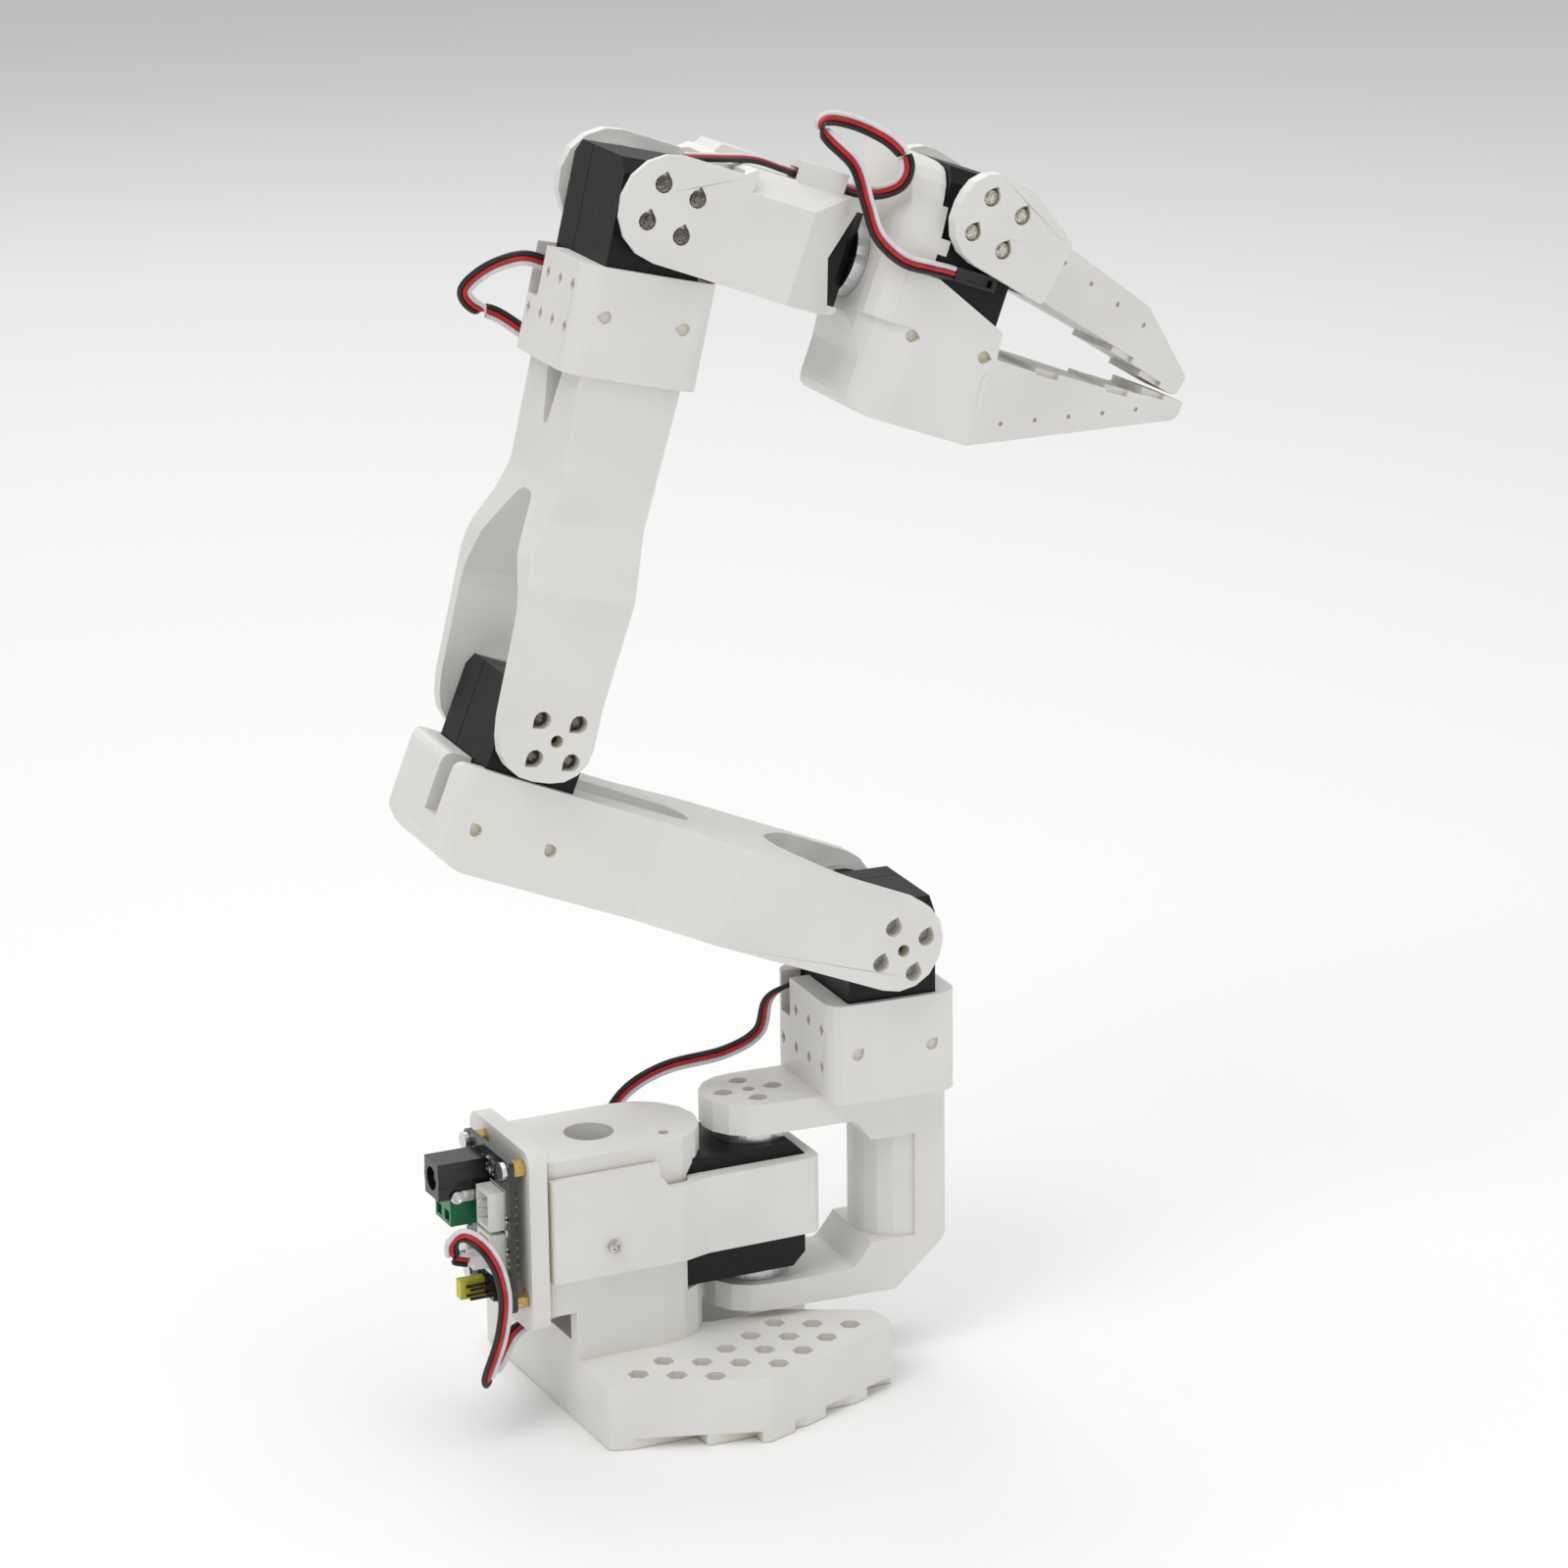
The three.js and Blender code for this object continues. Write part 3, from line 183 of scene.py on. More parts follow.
class Finish:
    """A procedural material: a Principled shader with a few nodes, in rest coordinates."""

    def __init__(self, name, rough, metal=0.0, **sockets):
        self.material = bpy.data.materials.new(name)
        self.material.use_nodes = True
        self.tree = self.material.node_tree
        self.shader = self.tree.nodes["Principled BSDF"]
        self.shader.inputs["Roughness"].default_value = rough
        self.shader.inputs["Metallic"].default_value = metal
        for socket, value in sockets.items():
            self.shader.inputs[socket.replace("_", " ")].default_value = value
        self.place = self.tree.nodes.new("ShaderNodeTexCoord").outputs["Object"]

    def node(self, kind, **values):
        made = self.tree.nodes.new(kind)
        for key, value in values.items():
            if key in made.inputs:
                made.inputs[key].default_value = value
            else:
                setattr(made, key, value)
        return made

    def link(self, source, target):
        self.tree.links.new(source, target)

    def noise(self, scale, detail=3.0, stretch=None):
        texture = self.node("ShaderNodeTexNoise", Scale=scale, Detail=detail)
        source = self.place
        if stretch:
            squeeze = self.node("ShaderNodeVectorMath", operation="MULTIPLY")
            squeeze.inputs[1].default_value = stretch
            self.link(source, squeeze.inputs[0])
            source = squeeze.outputs[0]
        self.link(source, texture.inputs["Vector"])
        return texture.outputs["Fac"]

    def ramp(self, fac, low, high, start=0.3, end=0.7):
        ramp = self.node("ShaderNodeValToRGB")
        ramp.color_ramp.elements[0].position = start
        ramp.color_ramp.elements[1].position = end
        ramp.color_ramp.elements[0].color = (*low, 1)
        ramp.color_ramp.elements[1].color = (*high, 1)
        self.link(fac, ramp.inputs["Fac"])
        return ramp.outputs["Color"]

    def mix(self, fac, first, second):
        mix = self.node("ShaderNodeMix", data_type="RGBA")
        self.link(fac, mix.inputs[0])
        for value, socket in ((first, mix.inputs[6]), (second, mix.inputs[7])):
            if isinstance(value, tuple):
                socket.default_value = (*value, 1)
            else:
                self.link(value, socket)
        return mix.outputs[2]

    def spread(self, fac, low, high):
        """A number that runs from low to high with fac."""
        span = self.node("ShaderNodeMapRange")
        span.inputs["To Min"].default_value = low
        span.inputs["To Max"].default_value = high
        self.link(fac, span.inputs["Value"])
        return span.outputs["Result"]

    def colour(self, source):
        self.link(source, self.shader.inputs["Base Color"])

    def roughness(self, fac, low, high):
        self.link(self.spread(fac, low, high), self.shader.inputs["Roughness"])

    def bump(self, height, distance, strength=1.0):
        """Adds one bump layer over those already there."""
        bump = self.node("ShaderNodeBump", Strength=strength, Distance=distance)
        self.link(height, bump.inputs["Height"])
        normal = self.shader.inputs["Normal"]
        if normal.is_linked:
            self.link(normal.links[0].from_socket, bump.inputs["Normal"])
        self.link(bump.outputs["Normal"], normal)

    def stripes(self, direction, pitch):
        """A wave from 0 to 1 and back, whose crests are planes across direction."""
        along = self.node("ShaderNodeVectorMath", operation="DOT_PRODUCT")
        along.inputs[1].default_value = direction
        self.link(self.place, along.inputs[0])
        phase = self.node("ShaderNodeMath", operation="MULTIPLY")
        phase.inputs[1].default_value = 2 * math.pi / pitch
        self.link(along.outputs["Value"], phase.inputs[0])
        wave = self.node("ShaderNodeMath", operation="SINE")
        self.link(phase.outputs[0], wave.inputs[0])
        half = self.node("ShaderNodeMath", operation="MULTIPLY_ADD")
        half.inputs[1].default_value = 0.5
        half.inputs[2].default_value = 0.5
        self.link(wave.outputs[0], half.inputs[0])
        return half.outputs[0]


def printed_plastic(name, layers):
    """Warm white printed plastic: fine layers across one direction, and painted shade in holes and recesses, a
    darker creamy colour where ambient occlusion is deep.
    """
    finish = Finish(name, 0.46, Specular_IOR_Level=0.42, Subsurface_Weight=0.12,
                    Subsurface_Scale=0.0012, Subsurface_Radius=(1.0, 0.85, 0.62))
    broad = finish.noise(38, 2)
    skin = finish.ramp(broad, (0.785, 0.775, 0.745), (0.835, 0.83, 0.81))
    # Painted shade: surfaces with other surfaces within 4.2 mm, as in holes and recesses, turn a darker creamy
    # colour.
    depth = finish.node("ShaderNodeAmbientOcclusion", samples=6)
    depth.inputs["Distance"].default_value = 4.2 * MM
    hollow_shade_mask = finish.ramp(depth.outputs["AO"], (0, 0, 0), (1, 1, 1), 0.16, 0.6)
    finish.colour(finish.mix(hollow_shade_mask, (0.76, 0.725, 0.575), skin))
    finish.roughness(finish.noise(420, 3), 0.4, 0.54)
    finish.bump(finish.stripes(layers, 0.3 * MM), 0.006 * MM, 0.5)
    finish.bump(finish.noise(900, 3), 0.02 * MM, 0.5)
    return finish.material


def servo_plastic():
    finish = Finish("servo_black", 0.46, Specular_IOR_Level=0.28)
    tone = finish.noise(160, 3)
    finish.colour(finish.ramp(tone, (0.0035, 0.0038, 0.005), (0.0065, 0.007, 0.009)))
    finish.roughness(finish.noise(700, 2), 0.36, 0.5)
    finish.bump(finish.noise(2600, 2), 0.02 * MM, 0.6)
    return finish.material


def horn_alloy():
    finish = Finish("horn_alloy", 0.28, 1.0)
    finish.colour(finish.ramp(finish.noise(300, 2), (0.60, 0.61, 0.63), (0.74, 0.75, 0.77)))
    finish.roughness(finish.noise(1500, 2, (1, 8, 1)), 0.2, 0.36)
    finish.bump(finish.noise(2200, 2), 0.01 * MM, 0.4)
    return finish.material


def metal(name, dark, light, rough):
    finish = Finish(name, rough, 1.0)
    finish.colour(finish.ramp(finish.noise(900, 3), dark, light))
    finish.roughness(finish.noise(1800, 2), rough * 0.7, rough * 1.3)
    finish.bump(finish.noise(3000, 2), 0.008 * MM, 0.4)
    return finish.material


def moulded(name, dark, light, rough):
    """Smooth moulded plastic with a slight cloudiness and a fine grain."""
    finish = Finish(name, rough)
    finish.colour(finish.ramp(finish.noise(260, 2), dark, light))
    finish.roughness(finish.noise(1100, 2), rough * 0.8, rough * 1.2)
    finish.bump(finish.noise(1800, 2), 0.012 * MM, 0.5)
    return finish.material


def board_mask():
    """Dark solder mask with faint tracks under it."""
    finish = Finish("board_mask", 0.3, Coat_Weight=0.35, Coat_Roughness=0.12)
    tracks = finish.node("ShaderNodeTexVoronoi", feature="DISTANCE_TO_EDGE", Scale=520)
    finish.link(finish.place, tracks.inputs["Vector"])
    lines = finish.ramp(tracks.outputs["Distance"], (0.016, 0.03, 0.024), (0.006, 0.012, 0.011),
                        0.03, 0.09)
    finish.colour(lines)
    finish.bump(tracks.outputs["Distance"], 0.01 * MM, 0.4)
    return finish.material


FINISHES = {
    "servo": servo_plastic(),
    "alloy": horn_alloy(),
    "nickel": metal("screw_nickel", (0.46, 0.43, 0.38), (0.74, 0.71, 0.66), 0.26),
    # Painted reflection: the elbow and wrist horn screws get a dark metal colour that stands in for the dark
    # surroundings their heads reflect.
    "dark_reflection_screw": metal("screw_painted_dark_reflection", (0.10, 0.09, 0.075), (0.26, 0.24, 0.21), 0.3),
    "steel": metal("plated_steel", (0.55, 0.55, 0.54), (0.75, 0.75, 0.74), 0.3),
    "brass": metal("brass_turned", (0.46, 0.30, 0.09), (0.66, 0.46, 0.17), 0.32),
    "solder": metal("solder_tin", (0.62, 0.62, 0.60), (0.82, 0.82, 0.80), 0.35),
    "mask": board_mask(),
    "black": moulded("black_gloss", (0.006, 0.006, 0.008), (0.012, 0.012, 0.015), 0.24),
    "chip": moulded("chip_black", (0.012, 0.012, 0.013), (0.02, 0.02, 0.022), 0.45),
    "white": moulded("connector_white", (0.72, 0.72, 0.69), (0.80, 0.80, 0.78), 0.36),
    "green": moulded("terminal_green", (0.006, 0.16, 0.055), (0.012, 0.23, 0.085), 0.34),
    "yellow": moulded("jumper_yellow", (0.50, 0.47, 0.02), (0.66, 0.62, 0.05), 0.36),
    "ink": moulded("board_ink", (0.66, 0.66, 0.64), (0.78, 0.78, 0.76), 0.6),
    "wire_black": moulded("wire_black", (0.008, 0.008, 0.009), (0.016, 0.016, 0.018), 0.33),
    "wire_red": moulded("wire_red", (0.42, 0.008, 0.008), (0.58, 0.016, 0.014), 0.33),
    "wire_white": moulded("wire_white", (0.66, 0.66, 0.70), (0.78, 0.78, 0.82), 0.36),
}

UP = Vector((0, 0, 1))
LAYERS = {
    "base": UP,
    "shoulder": UP,
    "upper_arm": UPPER.to_3x3() @ Vector((0, 0, 1)),
    "lower_arm": LOWER.to_3x3() @ Vector((1, 0, 0)),
    "wrist": WRIST.to_3x3() @ Vector((0, 0, 1)),
    "gripper": GRIPPER.to_3x3() @ Vector((1, 0, 0)),
    "moving_jaw": JAW.to_3x3() @ Vector((1, 0, 0)),
}
PRINTED = {body: printed_plastic(f"printed_{body}", layers) for body, layers in LAYERS.items()}

# ---- CAD nodes: a material, and soft edges by modifiers ------------------------------------------

SLOT_FINISH = {
    "servo_plastic": ("servo", 0.45),
    "horn_alloy": ("alloy", 0.25),
    "steel": ("steel", 0.12),
    "brass": ("brass", 0.15),
    "circuit_board": ("mask", 0.1),
    "black_plastic": ("black", 0.2),
    "white_connector": ("white", 0.2),
    "terminal_green": ("green", 0.2),
    "yellow_plastic": ("yellow", 0.2),
}
PRINTED_EDGE = {"base": 0.9, "shoulder_bracket": 0.8, "upper_arm": 0.8, "lower_arm": 0.8,
                "gripper_body": 0.3, "moving_jaw": 0.3, "wrist_bracket": 0.6}
PRINTED_EDGE_OTHER = 0.6


def soften(piece, width, segments=3):
    """Rounds the sharp edges of a faceted solid, and shades its faces smoothly."""
    flat = piece.modifiers.new("merge_flats", "DECIMATE")
    flat.decimate_type = "DISSOLVE"
    flat.angle_limit = math.radians(1.2)
    bevel = piece.modifiers.new("edges", "BEVEL")
    bevel.width = width * MM
    bevel.segments = segments
    bevel.limit_method = "ANGLE"
    bevel.angle_limit = math.radians(28)
    bevel.use_clamp_overlap = False
    bevel.miter_outer = "MITER_ARC"
    bevel.harden_normals = False
    normals = piece.modifiers.new("normals", "WEIGHTED_NORMAL")
    normals.keep_sharp = False
    for polygon in piece.data.polygons:
        polygon.use_smooth = True


def dress_cad():
    slots = {part["node"]: part["material_slot"] for part in frame["record"]["subparts"]}
    bodies = {node: body for body, members in frame["record"]["behaviour"]["bodies"].items()
              for node in members}
    for node, piece in frame["nodes"].items():
        slot = slots[node]
        if slot == "servo_lead":
            continue
        if slot == "printed_plastic":
            material, width = PRINTED[bodies[node]], PRINTED_EDGE.get(node, PRINTED_EDGE_OTHER)
        else:
            finish, width = SLOT_FINISH[slot]
            material = FINISHES[finish]
        piece.data.materials.clear()
        piece.data.materials.append(material)
        soften(piece, width)


# ---- mesh pieces ---------------------------------------------------------------------------------

class Build:
    """One mesh piece, put together in the frame of a link, in millimetres."""

    def __init__(self, name, *finishes):
        self.name = name
        self.mesh = bmesh.new()
        self.finishes = finishes

    def add(self, piece, place, index=0):
        """Moves a small bmesh into place and joins it on."""
        piece.transform(place)
        for face in piece.faces:
            face.material_index = index
        scratch = bpy.data.meshes.new("scratch")
        piece.to_mesh(scratch)
        piece.free()
        self.mesh.from_mesh(scratch)
        bpy.data.meshes.remove(scratch)

    def done(self, body):
        data = bpy.data.meshes.new(self.name)
        bmesh.ops.recalc_face_normals(self.mesh, faces=self.mesh.faces)
        self.mesh.to_mesh(data)
        self.mesh.free()
        for finish in self.finishes:
            data.materials.append(FINISHES[finish])
        data.shade_smooth()
        piece = bpy.data.objects.new(self.name, data)
        bpy.context.scene.collection.objects.link(piece)
        data.set_sharp_from_angle(angle=math.radians(35))
        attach(piece, body)


def block(x0, x1, y0, y1, z0, z1, bevel=0.15):
    """A box between corners in millimetres, with rounded edges."""
    made = bmesh.new()
    bmesh.ops.create_cube(made, size=1)
    size = Matrix.Diagonal(((x1 - x0) * MM, (y1 - y0) * MM, (z1 - z0) * MM, 1))
    middle = Matrix.Translation(Vector(((x0 + x1) / 2, (y0 + y1) / 2, (z0 + z1) / 2)) * MM)
    made.transform(middle @ size)
    if bevel:
        bmesh.ops.bevel(made, geom=made.edges[:], offset=bevel * MM, segments=2, affect="EDGES",
                        profile=0.5)
    return made


def turned_shape(profile, sides=24):
    """A solid of revolution about +Z from (radius, height) points in millimetres."""
    made = bmesh.new()
    rings = []
    for radius, height in profile:
        if radius == 0:
            rings.append([made.verts.new((0, 0, height * MM))])
            continue
        ring = []
        for i in range(sides):
            turn = 2 * math.pi * i / sides
            spot = (radius * math.cos(turn), radius * math.sin(turn), height)
            ring.append(made.verts.new(Vector(spot) * MM))
        rings.append(ring)
    for low, high in zip(rings, rings[1:]):
        for i in range(sides):
            j = (i + 1) % sides
            corners = [low[i % len(low)], low[j % len(low)], high[j % len(high)],
                       high[i % len(high)]]
            unique = list(dict.fromkeys(corners))
            if len(unique) > 2:
                made.faces.new(unique)
    return made


def screw_head(radius, height):
    """A domed screw head that faces +Z, with a pressed cross recess."""
    made = bmesh.new()
    sides = 32
    steps = (0.1, 0.2, 0.3, 0.4, 0.5, 0.58, 0.66, 0.76, 0.88, 0.96, 1.0)
    arm = 0.17
    reach = 0.6
    deepest = 0.75 * radius
    middle = made.verts.new((0, 0, (height - deepest) * MM))
    rings = []
    for share in steps:
        ring = []
        for i in range(sides):
            angle = 2 * math.pi * i / sides
            x, y = share * math.cos(angle), share * math.sin(angle)
            dome = height * (1 - 0.42 * share * share)
            in_cross = min(abs(x), abs(y)) < arm and share < reach
            sink = deepest * (1 - share / reach) ** 0.5 if in_cross else 0
            ring.append(made.verts.new(Vector((x * radius, y * radius, dome - sink)) * MM))
        rings.append(ring)
    skirt = [made.verts.new((v.co.x, v.co.y, 0)) for v in rings[-1]]
    rings.append(skirt)
    for i in range(sides):
        j = (i + 1) % sides
        made.faces.new((middle, rings[0][i], rings[0][j]))
        for low, high in zip(rings, rings[1:]):
            made.faces.new((low[i], high[i], high[j], low[j]))
    made.faces.new(list(reversed(skirt)))
    return made


def facing(frame_matrix, point, normal, spin=0.0):
    """Places a piece modelled facing +Z at a point, facing along normal, both in the frame."""
    turn = Vector(normal).to_track_quat("Z", "Y").to_matrix().to_4x4()
    return frame_matrix @ Matrix.Translation(Vector(point) * MM) @ turn @ Matrix.Rotation(
        spin, 4, "Z")


# ---- fasteners -----------------------------------------------------------------------------------

def horn_screws(name, body, place, depth, degrees=0.0, finish="nickel", sides=(-1, 1)):
    """Four screws in each fork plate, whose heads stand depth millimetres from the middle."""
    build = Build(name, finish)
    half = HORN_HOLE_PITCH / 2
    length = depth - FACE - 0.2
    seat = depth - HORN_SCREW_DOME
    for side in sides:
        for k, (sx, sz) in enumerate(((-1, -1), (1, -1), (1, 1), (-1, 1))):
            turn = math.radians(degrees)
            x = half * (sx * math.cos(turn) - sz * math.sin(turn))
            z = half * (sx * math.sin(turn) + sz * math.cos(turn))
            spin = 0.5 + 0.9 * k
            head = screw_head(HORN_SCREW_HEAD, HORN_SCREW_DOME)
            build.add(head, facing(place, (x, side * seat, z), (0, side, 0), spin))
            shank = turned_shape([(0, 0), (HORN_SCREW_SHANK, 0), (HORN_SCREW_SHANK, length),
                                  (0, length)], 12)
            build.add(shank, facing(place, (x, side * FACE, z), (0, side, 0)))
    build.done(body)


def holder_screw_faces():
    """The crossed faces of the two screws that hold the pan servo's holder."""
    build = Build("holder_screw_faces", "nickel")
    for side in (-1, 1):
        face = screw_head(HOLDER_SCREW_HEAD, 0.6)
        spot = (HOLDER_SCREW_X, side * HOLDER_SCREW_OUT, HOLDER_SCREW_Z)
        build.add(face, facing(BASE, spot, (0, side, 0), 0.4))
    build.done("base")


def add_screws():
    pan_servo = PAN @ basis((0, 0, SHAFT_HEIGHT), (0, 1, 0), (0, 0, 1), (1, 0, 0))
    horn_screws("pan_horn_screws", "shoulder", pan_servo, 23.4, 45)
    horn_screws("lift_horn_screws", "upper_arm", UPPER, 22.6, sides=(1,))
    # The elbow and wrist screws take the dark metal that is a painted dark reflection.
    horn_screws("elbow_horn_screws", "lower_arm", LOWER, 22.9, finish="dark_reflection_screw")
    horn_screws("wrist_horn_screws", "wrist", WRIST, 23.2, -7, "dark_reflection_screw")
    horn_screws("jaw_horn_screws", "moving_jaw", JAW, 24.9)
    holder_screw_faces()


# ---- leads ---------------------------------------------------------------------------------------

WIRE_RADIUS = 0.66
WIRE_OFFSET = 1.29
WIRE_SIDES = 10
WIRES = ("wire_black", "wire_red", "wire_white")


def smooth(points, per=7):
    """Points on a Catmull-Rom curve through the given points."""
    vectors = [Vector(p) for p in points]
    vectors = [2 * vectors[0] - vectors[1], *vectors, 2 * vectors[-1] - vectors[-2]]
    found = []
    for a, b, c, d in zip(vectors, vectors[1:], vectors[2:], vectors[3:]):
        for k in range(per):
            t = k / per
            found.append(0.5 * (2 * b + (c - a) * t + (2 * a - 5 * b + 4 * c - d) * t * t
                                + (3 * b - a - 3 * c + d) * t ** 3))
    found.append(vectors[-2])
    return found


def ribbon(name, place, route, edges):
    """Three bonded wires along a route. edges point from the middle wire to the black one."""
    line = smooth(route)
    hints = smooth(edges)
    build = bmesh.new()
    rings = {wire: [] for wire in range(len(WIRES))}
    for i, point in enumerate(line):
        ahead = (line[min(i + 1, len(line) - 1)] - line[max(i - 1, 0)]).normalized()
        side = (hints[i] - ahead * hints[i].dot(ahead)).normalized()
        lift = ahead.cross(side)
        for wire in rings:
            middle = point + side * WIRE_OFFSET * (1 - wire)
            ring = []
            for k in range(WIRE_SIDES):
                turn = 2 * math.pi * k / WIRE_SIDES
                spot = middle + WIRE_RADIUS * (side * math.cos(turn) + lift * math.sin(turn))
                ring.append(build.verts.new(at(place, spot)))
            rings[wire].append(ring)
    for wire, loops in rings.items():
        faces = [build.faces.new(list(reversed(loops[0]))), build.faces.new(loops[-1])]
        for low, high in zip(loops, loops[1:]):
            for k in range(WIRE_SIDES):
                j = (k + 1) % WIRE_SIDES
                faces.append(build.faces.new((low[k], low[j], high[j], high[k])))
        for face in faces:
            face.material_index = wire
    data = bpy.data.meshes.new(name)
    bmesh.ops.recalc_face_normals(build, faces=build.faces)
    build.to_mesh(data)
    build.free()
    for wire in WIRES:
        data.materials.append(FINISHES[wire])
    data.shade_smooth()
    data.set_sharp_from_angle(angle=math.radians(60))
    piece = bpy.data.objects.new(name, data)
    bpy.context.scene.collection.objects.link(piece)
    path = [at(place, p) for p in line]
    return piece, path


def declare(node):
    """Hides the CAD lead that a ribbon stands for."""
    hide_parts(node)


def add_leads():
    # From the plug in the lower servo socket, down, and in under the mounting plate.
    piece, path = ribbon("board_lead", BASE, [
        (-84.9, -10.6, 48.5), (-88.8, -10.8, 50.2), (-89.6, -11.8, 54.4), (-87, -14.4, 57),
        (-83.4, -18.2, 54.4), (-80.6, -20.6, 48.5), (-79.4, -21.6, 40), (-80.6, -21, 30),
        (-83.2, -18.6, 19.5), (-82.6, -16, 16.8), (-78, -12.4, 19.6), (-71.4, -7, 24.4),
        (-64, -4, 25.3), (-57, -3, 26.2),
    ], [
        (0, 0, -1), (0.6, 0, -1), (1, 0, 0), (0, 0, -1), (-1, 0, -0.6), (-1, 0, 0), (-1, 0, 0),
        (-1, 0, 0), (-1, 0, 0), (0, 0, -1), (-0.5, 0.6, 0.6), (-0.4, 0.6, 0.7), (0, 1, 0),
        (0, 1, 0),
    ])
    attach(piece, "base")
    declare("lead_board")
    # From the lift servo, over the tower's far edge, to the hole in its far wall.
    piece, path = ribbon("shoulder_lead", BASE, [
        (20, 10.5, 100.6), (15.6, 10.7, 100.2), (11, 11.2, 97), (8.4, 11.7, 88.5),
        (-1, 13.2, 83.8), (-16.7, 16.5, 81), (-27, 20.6, 74), (-33, 23.4, 62), (-40, 24, 46),
        (-45, 22.4, 36.6), (-46, 17.5, 34.2), (-46, 11.5, 33.8),
    ], [
        (0, -1, 0.4), (0, -1, 0.6), (-1, -0.4, 0.4), (-1, 0, 0.4), (-0.3, 0, 1), (-0.2, 0, 1),
        (-1, 0, 1), (-1, 0, 0), (-1, 0, 0), (-1, 0, 0), (-1, 0, 0), (-1, 0, 0),
    ])
    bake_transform(piece)
    declare("lead_shoulder")
    # From the wrist servo, in a loop behind its box, to the hole in the arm's far wall.
    piece, path = ribbon("lower_arm_lead", LOWER, [
        (113, 12.5, 12), (113.4, 13.4, 19), (109, 17.4, 25.6), (102.6, 21, 29.4),
        (98.6, 22.8, 26), (96.8, 24.4, 18), (92.6, 25.2, 8), (89.4, 23, 0), (88.5, 17, -2),
        (88.5, 7.5, -2),
    ], [
        (1, 0, 0), (1, 0, 0.3), (0.8, 0, 0.8), (0.3, 0, 1), (-0.6, 0, 1), (1, 0, 0.2), (1, 0, 0),
        (1, 0, 0), (1, 0, 0), (1, 0, 0),
    ])
    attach(piece, "lower_arm")
    declare("lead_lower_arm")
    # From the wrist servo into the clip on the wrist bracket.
    piece, path = ribbon("wrist_lead", WRIST, [
        (4, -10.6, 12.9), (12, -10.8, 15), (21.7, -10.8, 17.3), (30, -10.7, 17.2),
        (37.6, -10.6, 17.05),
    ], [(0, -1, -0.3)] * 5)
    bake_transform(piece)
    declare("lead_wrist")
    # From the clip, in a loop, along the near side of the gripper, to the jaw servo's socket.
    piece, path = ribbon("gripper_lead", WRIST, [
        (38, -10.6, 17.05), (42, -10.6, 17.25), (46.5, -10.7, 17.1), (54, -14.4, 18.2),
        (58, -19.2, 22.4), (57.4, -20.6, 28), (52.6, -18.8, 31.8), (44.6, -15.2, 33.4),
        (37.6, -12.8, 32.8), (35.4, -12.6, 30.2), (38.8, -13.8, 27.6), (46, -17, 23.4),
        (50.6, -20.6, 15.4), (55, -23.4, 8.6), (63, -24.4, 4.9), (71.5, -23.2, 4.9),
        (76, -21, 5), (79.7, -19.8, 5),
    ], [
        (0, -1, -0.3), (0, -1, -0.3), (0, -1, -0.6), (0, -0.5, -1), (0.7, -0.5, -0.7),
        (1, -0.3, -0.3), (-0.1, 0, -1), (0.1, 0, -1), (0.3, -0.3, -1), (0.4, -1, -0.2),
        (-0.5, 0, -1), (-0.8, 0, -0.8), (-1, 0, -0.4), (-1, 0, -0.8), (0, 0, -1), (0, 0, -1),
        (0, 0, -1), (0, 0, -1),
    ])
    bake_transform(piece)
    declare("lead_gripper")


# ---- controller board ----------------------------------------------------------------------------

BOARD_BACK = -76.2  # component side
BOARD_FRONT = -74.6


def chip(build, y0, y1, z0, z1, height, legs):
    """A flat chip with short tinned legs along its two upright sides."""
    build.add(block(BOARD_BACK - height, BOARD_BACK - 0.2, y0, y1, z0, z1, 0.12), BASE, 0)
    for i in range(legs):
        z = z0 + (z1 - z0) * (i + 0.5) / legs
        for a, b in ((y0 - 0.7, y0 + 0.1), (y1 - 0.1, y1 + 0.7)):
            build.add(block(BOARD_BACK - 0.45, BOARD_BACK, a, b, z - 0.16, z + 0.16, 0.04), BASE, 1)


def small_part(build, y, z, upright, body_index):
    """A resistor or capacitor of 1.6 by 0.8 mm with tinned ends."""
    long, short = 0.8, 0.4
    dy, dz = (short, long) if upright else (long, short)
    build.add(block(BOARD_BACK - 0.6, BOARD_BACK, y - dy * 0.62, y + dy * 0.62, z - dz * 0.62,
                    z + dz * 0.62, 0.05), BASE, body_index)
    for end in (-1, 1):
        cy, cz = (y, z + end * long * 0.8) if upright else (y + end * long * 0.8, z)
        build.add(block(BOARD_BACK - 0.65, BOARD_BACK, cy - 0.3, cy + 0.3, cz - 0.3, cz + 0.3,
                        0.06), BASE, 1)


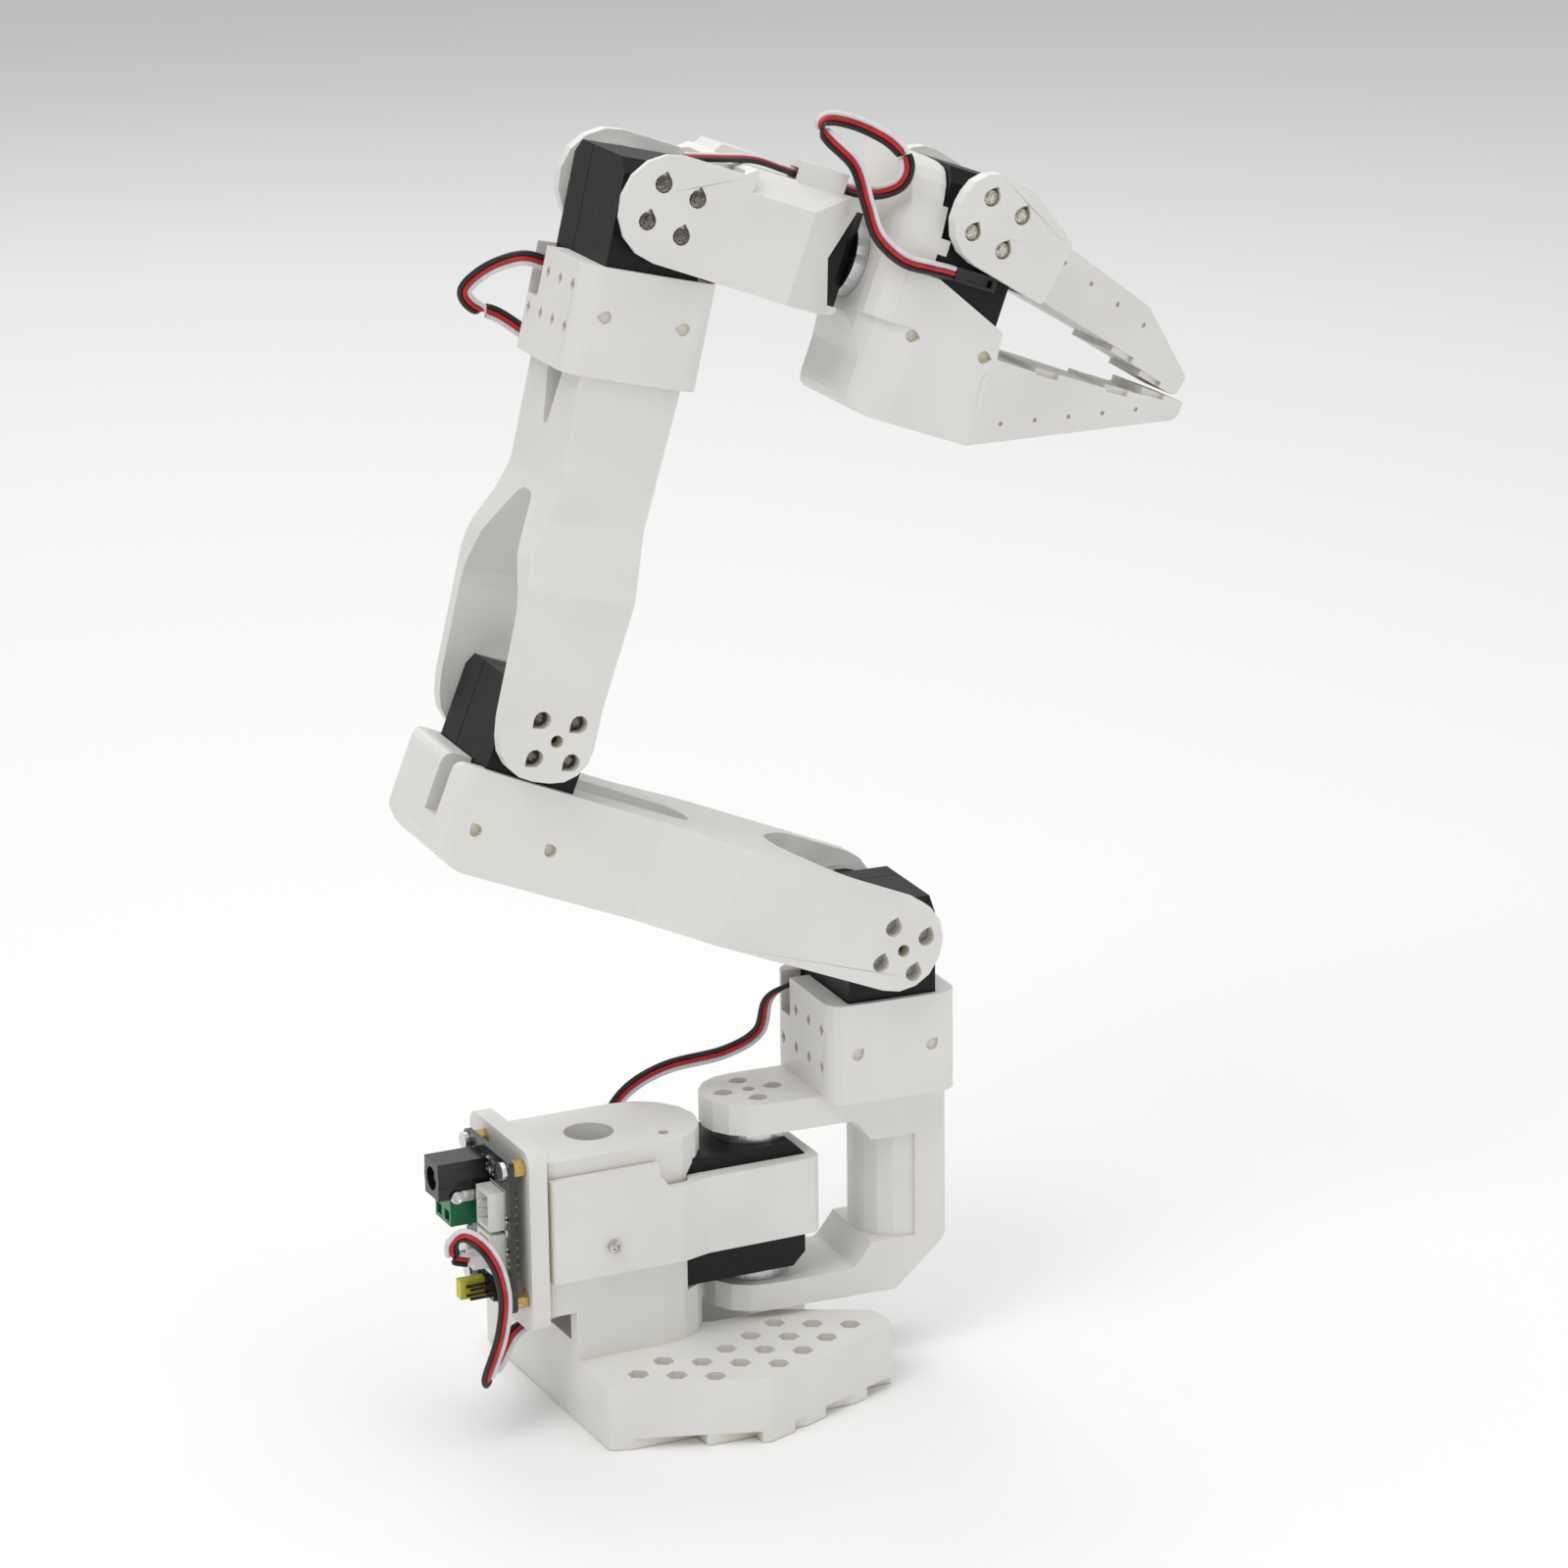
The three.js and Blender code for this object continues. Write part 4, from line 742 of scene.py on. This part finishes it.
def add_board_parts():
    build = Build("board_parts", "chip", "solder", "white", "ink")
    chip(build, 1.5, 6.5, 36.8, 41.6, 1.3, 7)
    chip(build, -15.2, -11.4, 69.8, 73.4, 1.1, 4)
    for y, z, upright, index in (
            (-8.5, 70.6, True, 0), (-6.6, 70.6, True, 2), (-4.7, 71.0, True, 0),
            (-9.2, 73.4, False, 0), (-5.6, 73.6, False, 2), (-2.0, 72.4, True, 0),
            (1.0, 72.2, False, 2), (4.4, 72.4, True, 0), (7.0, 71.4, False, 0),
            (-4.4, 56.4, True, 0), (-4.4, 53.4, True, 2), (-4.6, 49.2, True, 0),
            (-3.0, 46.6, True, 2), (-1.6, 42.4, True, 0), (-16.9, 60.4, True, 0),
            (-16.9, 56.6, True, 2), (-16.9, 51.6, True, 0), (9.6, 50.4, True, 0),
            (9.8, 61.6, True, 2), (9.8, 65.4, True, 0), (-16.6, 43.6, True, 2)):
        small_part(build, y, z, upright, index)
    # Generic printed ticks round the connectors.
    for y0, y1, z0, z1 in (
            (-15.6, -5.6, 67.5, 67.8), (-15.6, -15.3, 57.2, 67.5), (-15.6, -5.6, 56.15, 56.4),
            (-15.6, -15.3, 45.0, 56.2), (-12.6, -3.8, 41.9, 42.1), (-3.2, 8.6, 58.2, 58.4),
            (-5.6, 5.6, 69.6, 69.8), (-17.6, -16.2, 47.2, 47.4), (-17.6, -16.2, 49.0, 49.2)):
        build.add(block(BOARD_BACK - 0.06, BOARD_BACK, y0, y1, z0, z1, 0), BASE, 3)
    build.done("base")


def add_board_pins():
    """Soldered pin tails on the far side of the board, and pins in the free socket."""
    build = Build("board_pins", "solder")
    for z0 in (38.0, 47.2, 58.6):
        for i in range(4):
            z = z0 + i * 2.3
            for y in (-16.4, -9.4):
                tail = turned_shape([(0, 1.4), (0.25, 1.2), (0.5, 0.35), (0.8, 0), (0, 0)], 10)
                build.add(tail, facing(BASE, (BOARD_FRONT, y, z), (1, 0, 0)))
    for i in range(3):
        z = 59.5 + i * 2.5
        pin = block(BOARD_BACK - 5.6, BOARD_BACK - 1.4, -10.9, -10.3, z - 0.3, z + 0.3, 0.08)
        build.add(pin, BASE)
    build.done("base")


def add_jack_parts():
    """The power jack's side contact and its rivet, and the terminal's two clamp screws."""
    build = Build("jack_contact", "steel")
    build.add(block(BOARD_BACK - 9.2, BOARD_BACK - 0.1, -5.15, -4.75, 62.4, 65.4, 0.12), BASE)
    ring = turned_shape([(0, 0.35), (0.9, 0.4), (1.15, 0.75), (1.6, 0.75), (1.8, 0.4), (1.8, 0),
                         (0, 0)], 24)
    build.add(ring, facing(BASE, (BOARD_BACK - 9.0, -5.0, 63.9), (0, -1, 0)))
    for y in (0.1, 5.4):
        build.add(screw_head(1.1, 0.7), facing(BASE, (BOARD_BACK - 5, y, 57.2), (0, 0, 1)))
    build.done("base")


# ---- scene ---------------------------------------------------------------------------------------

add_camera()
add_leads()
add_studio()
dress_cad()
add_screws()
add_board_parts()
add_board_pins()
add_jack_parts()
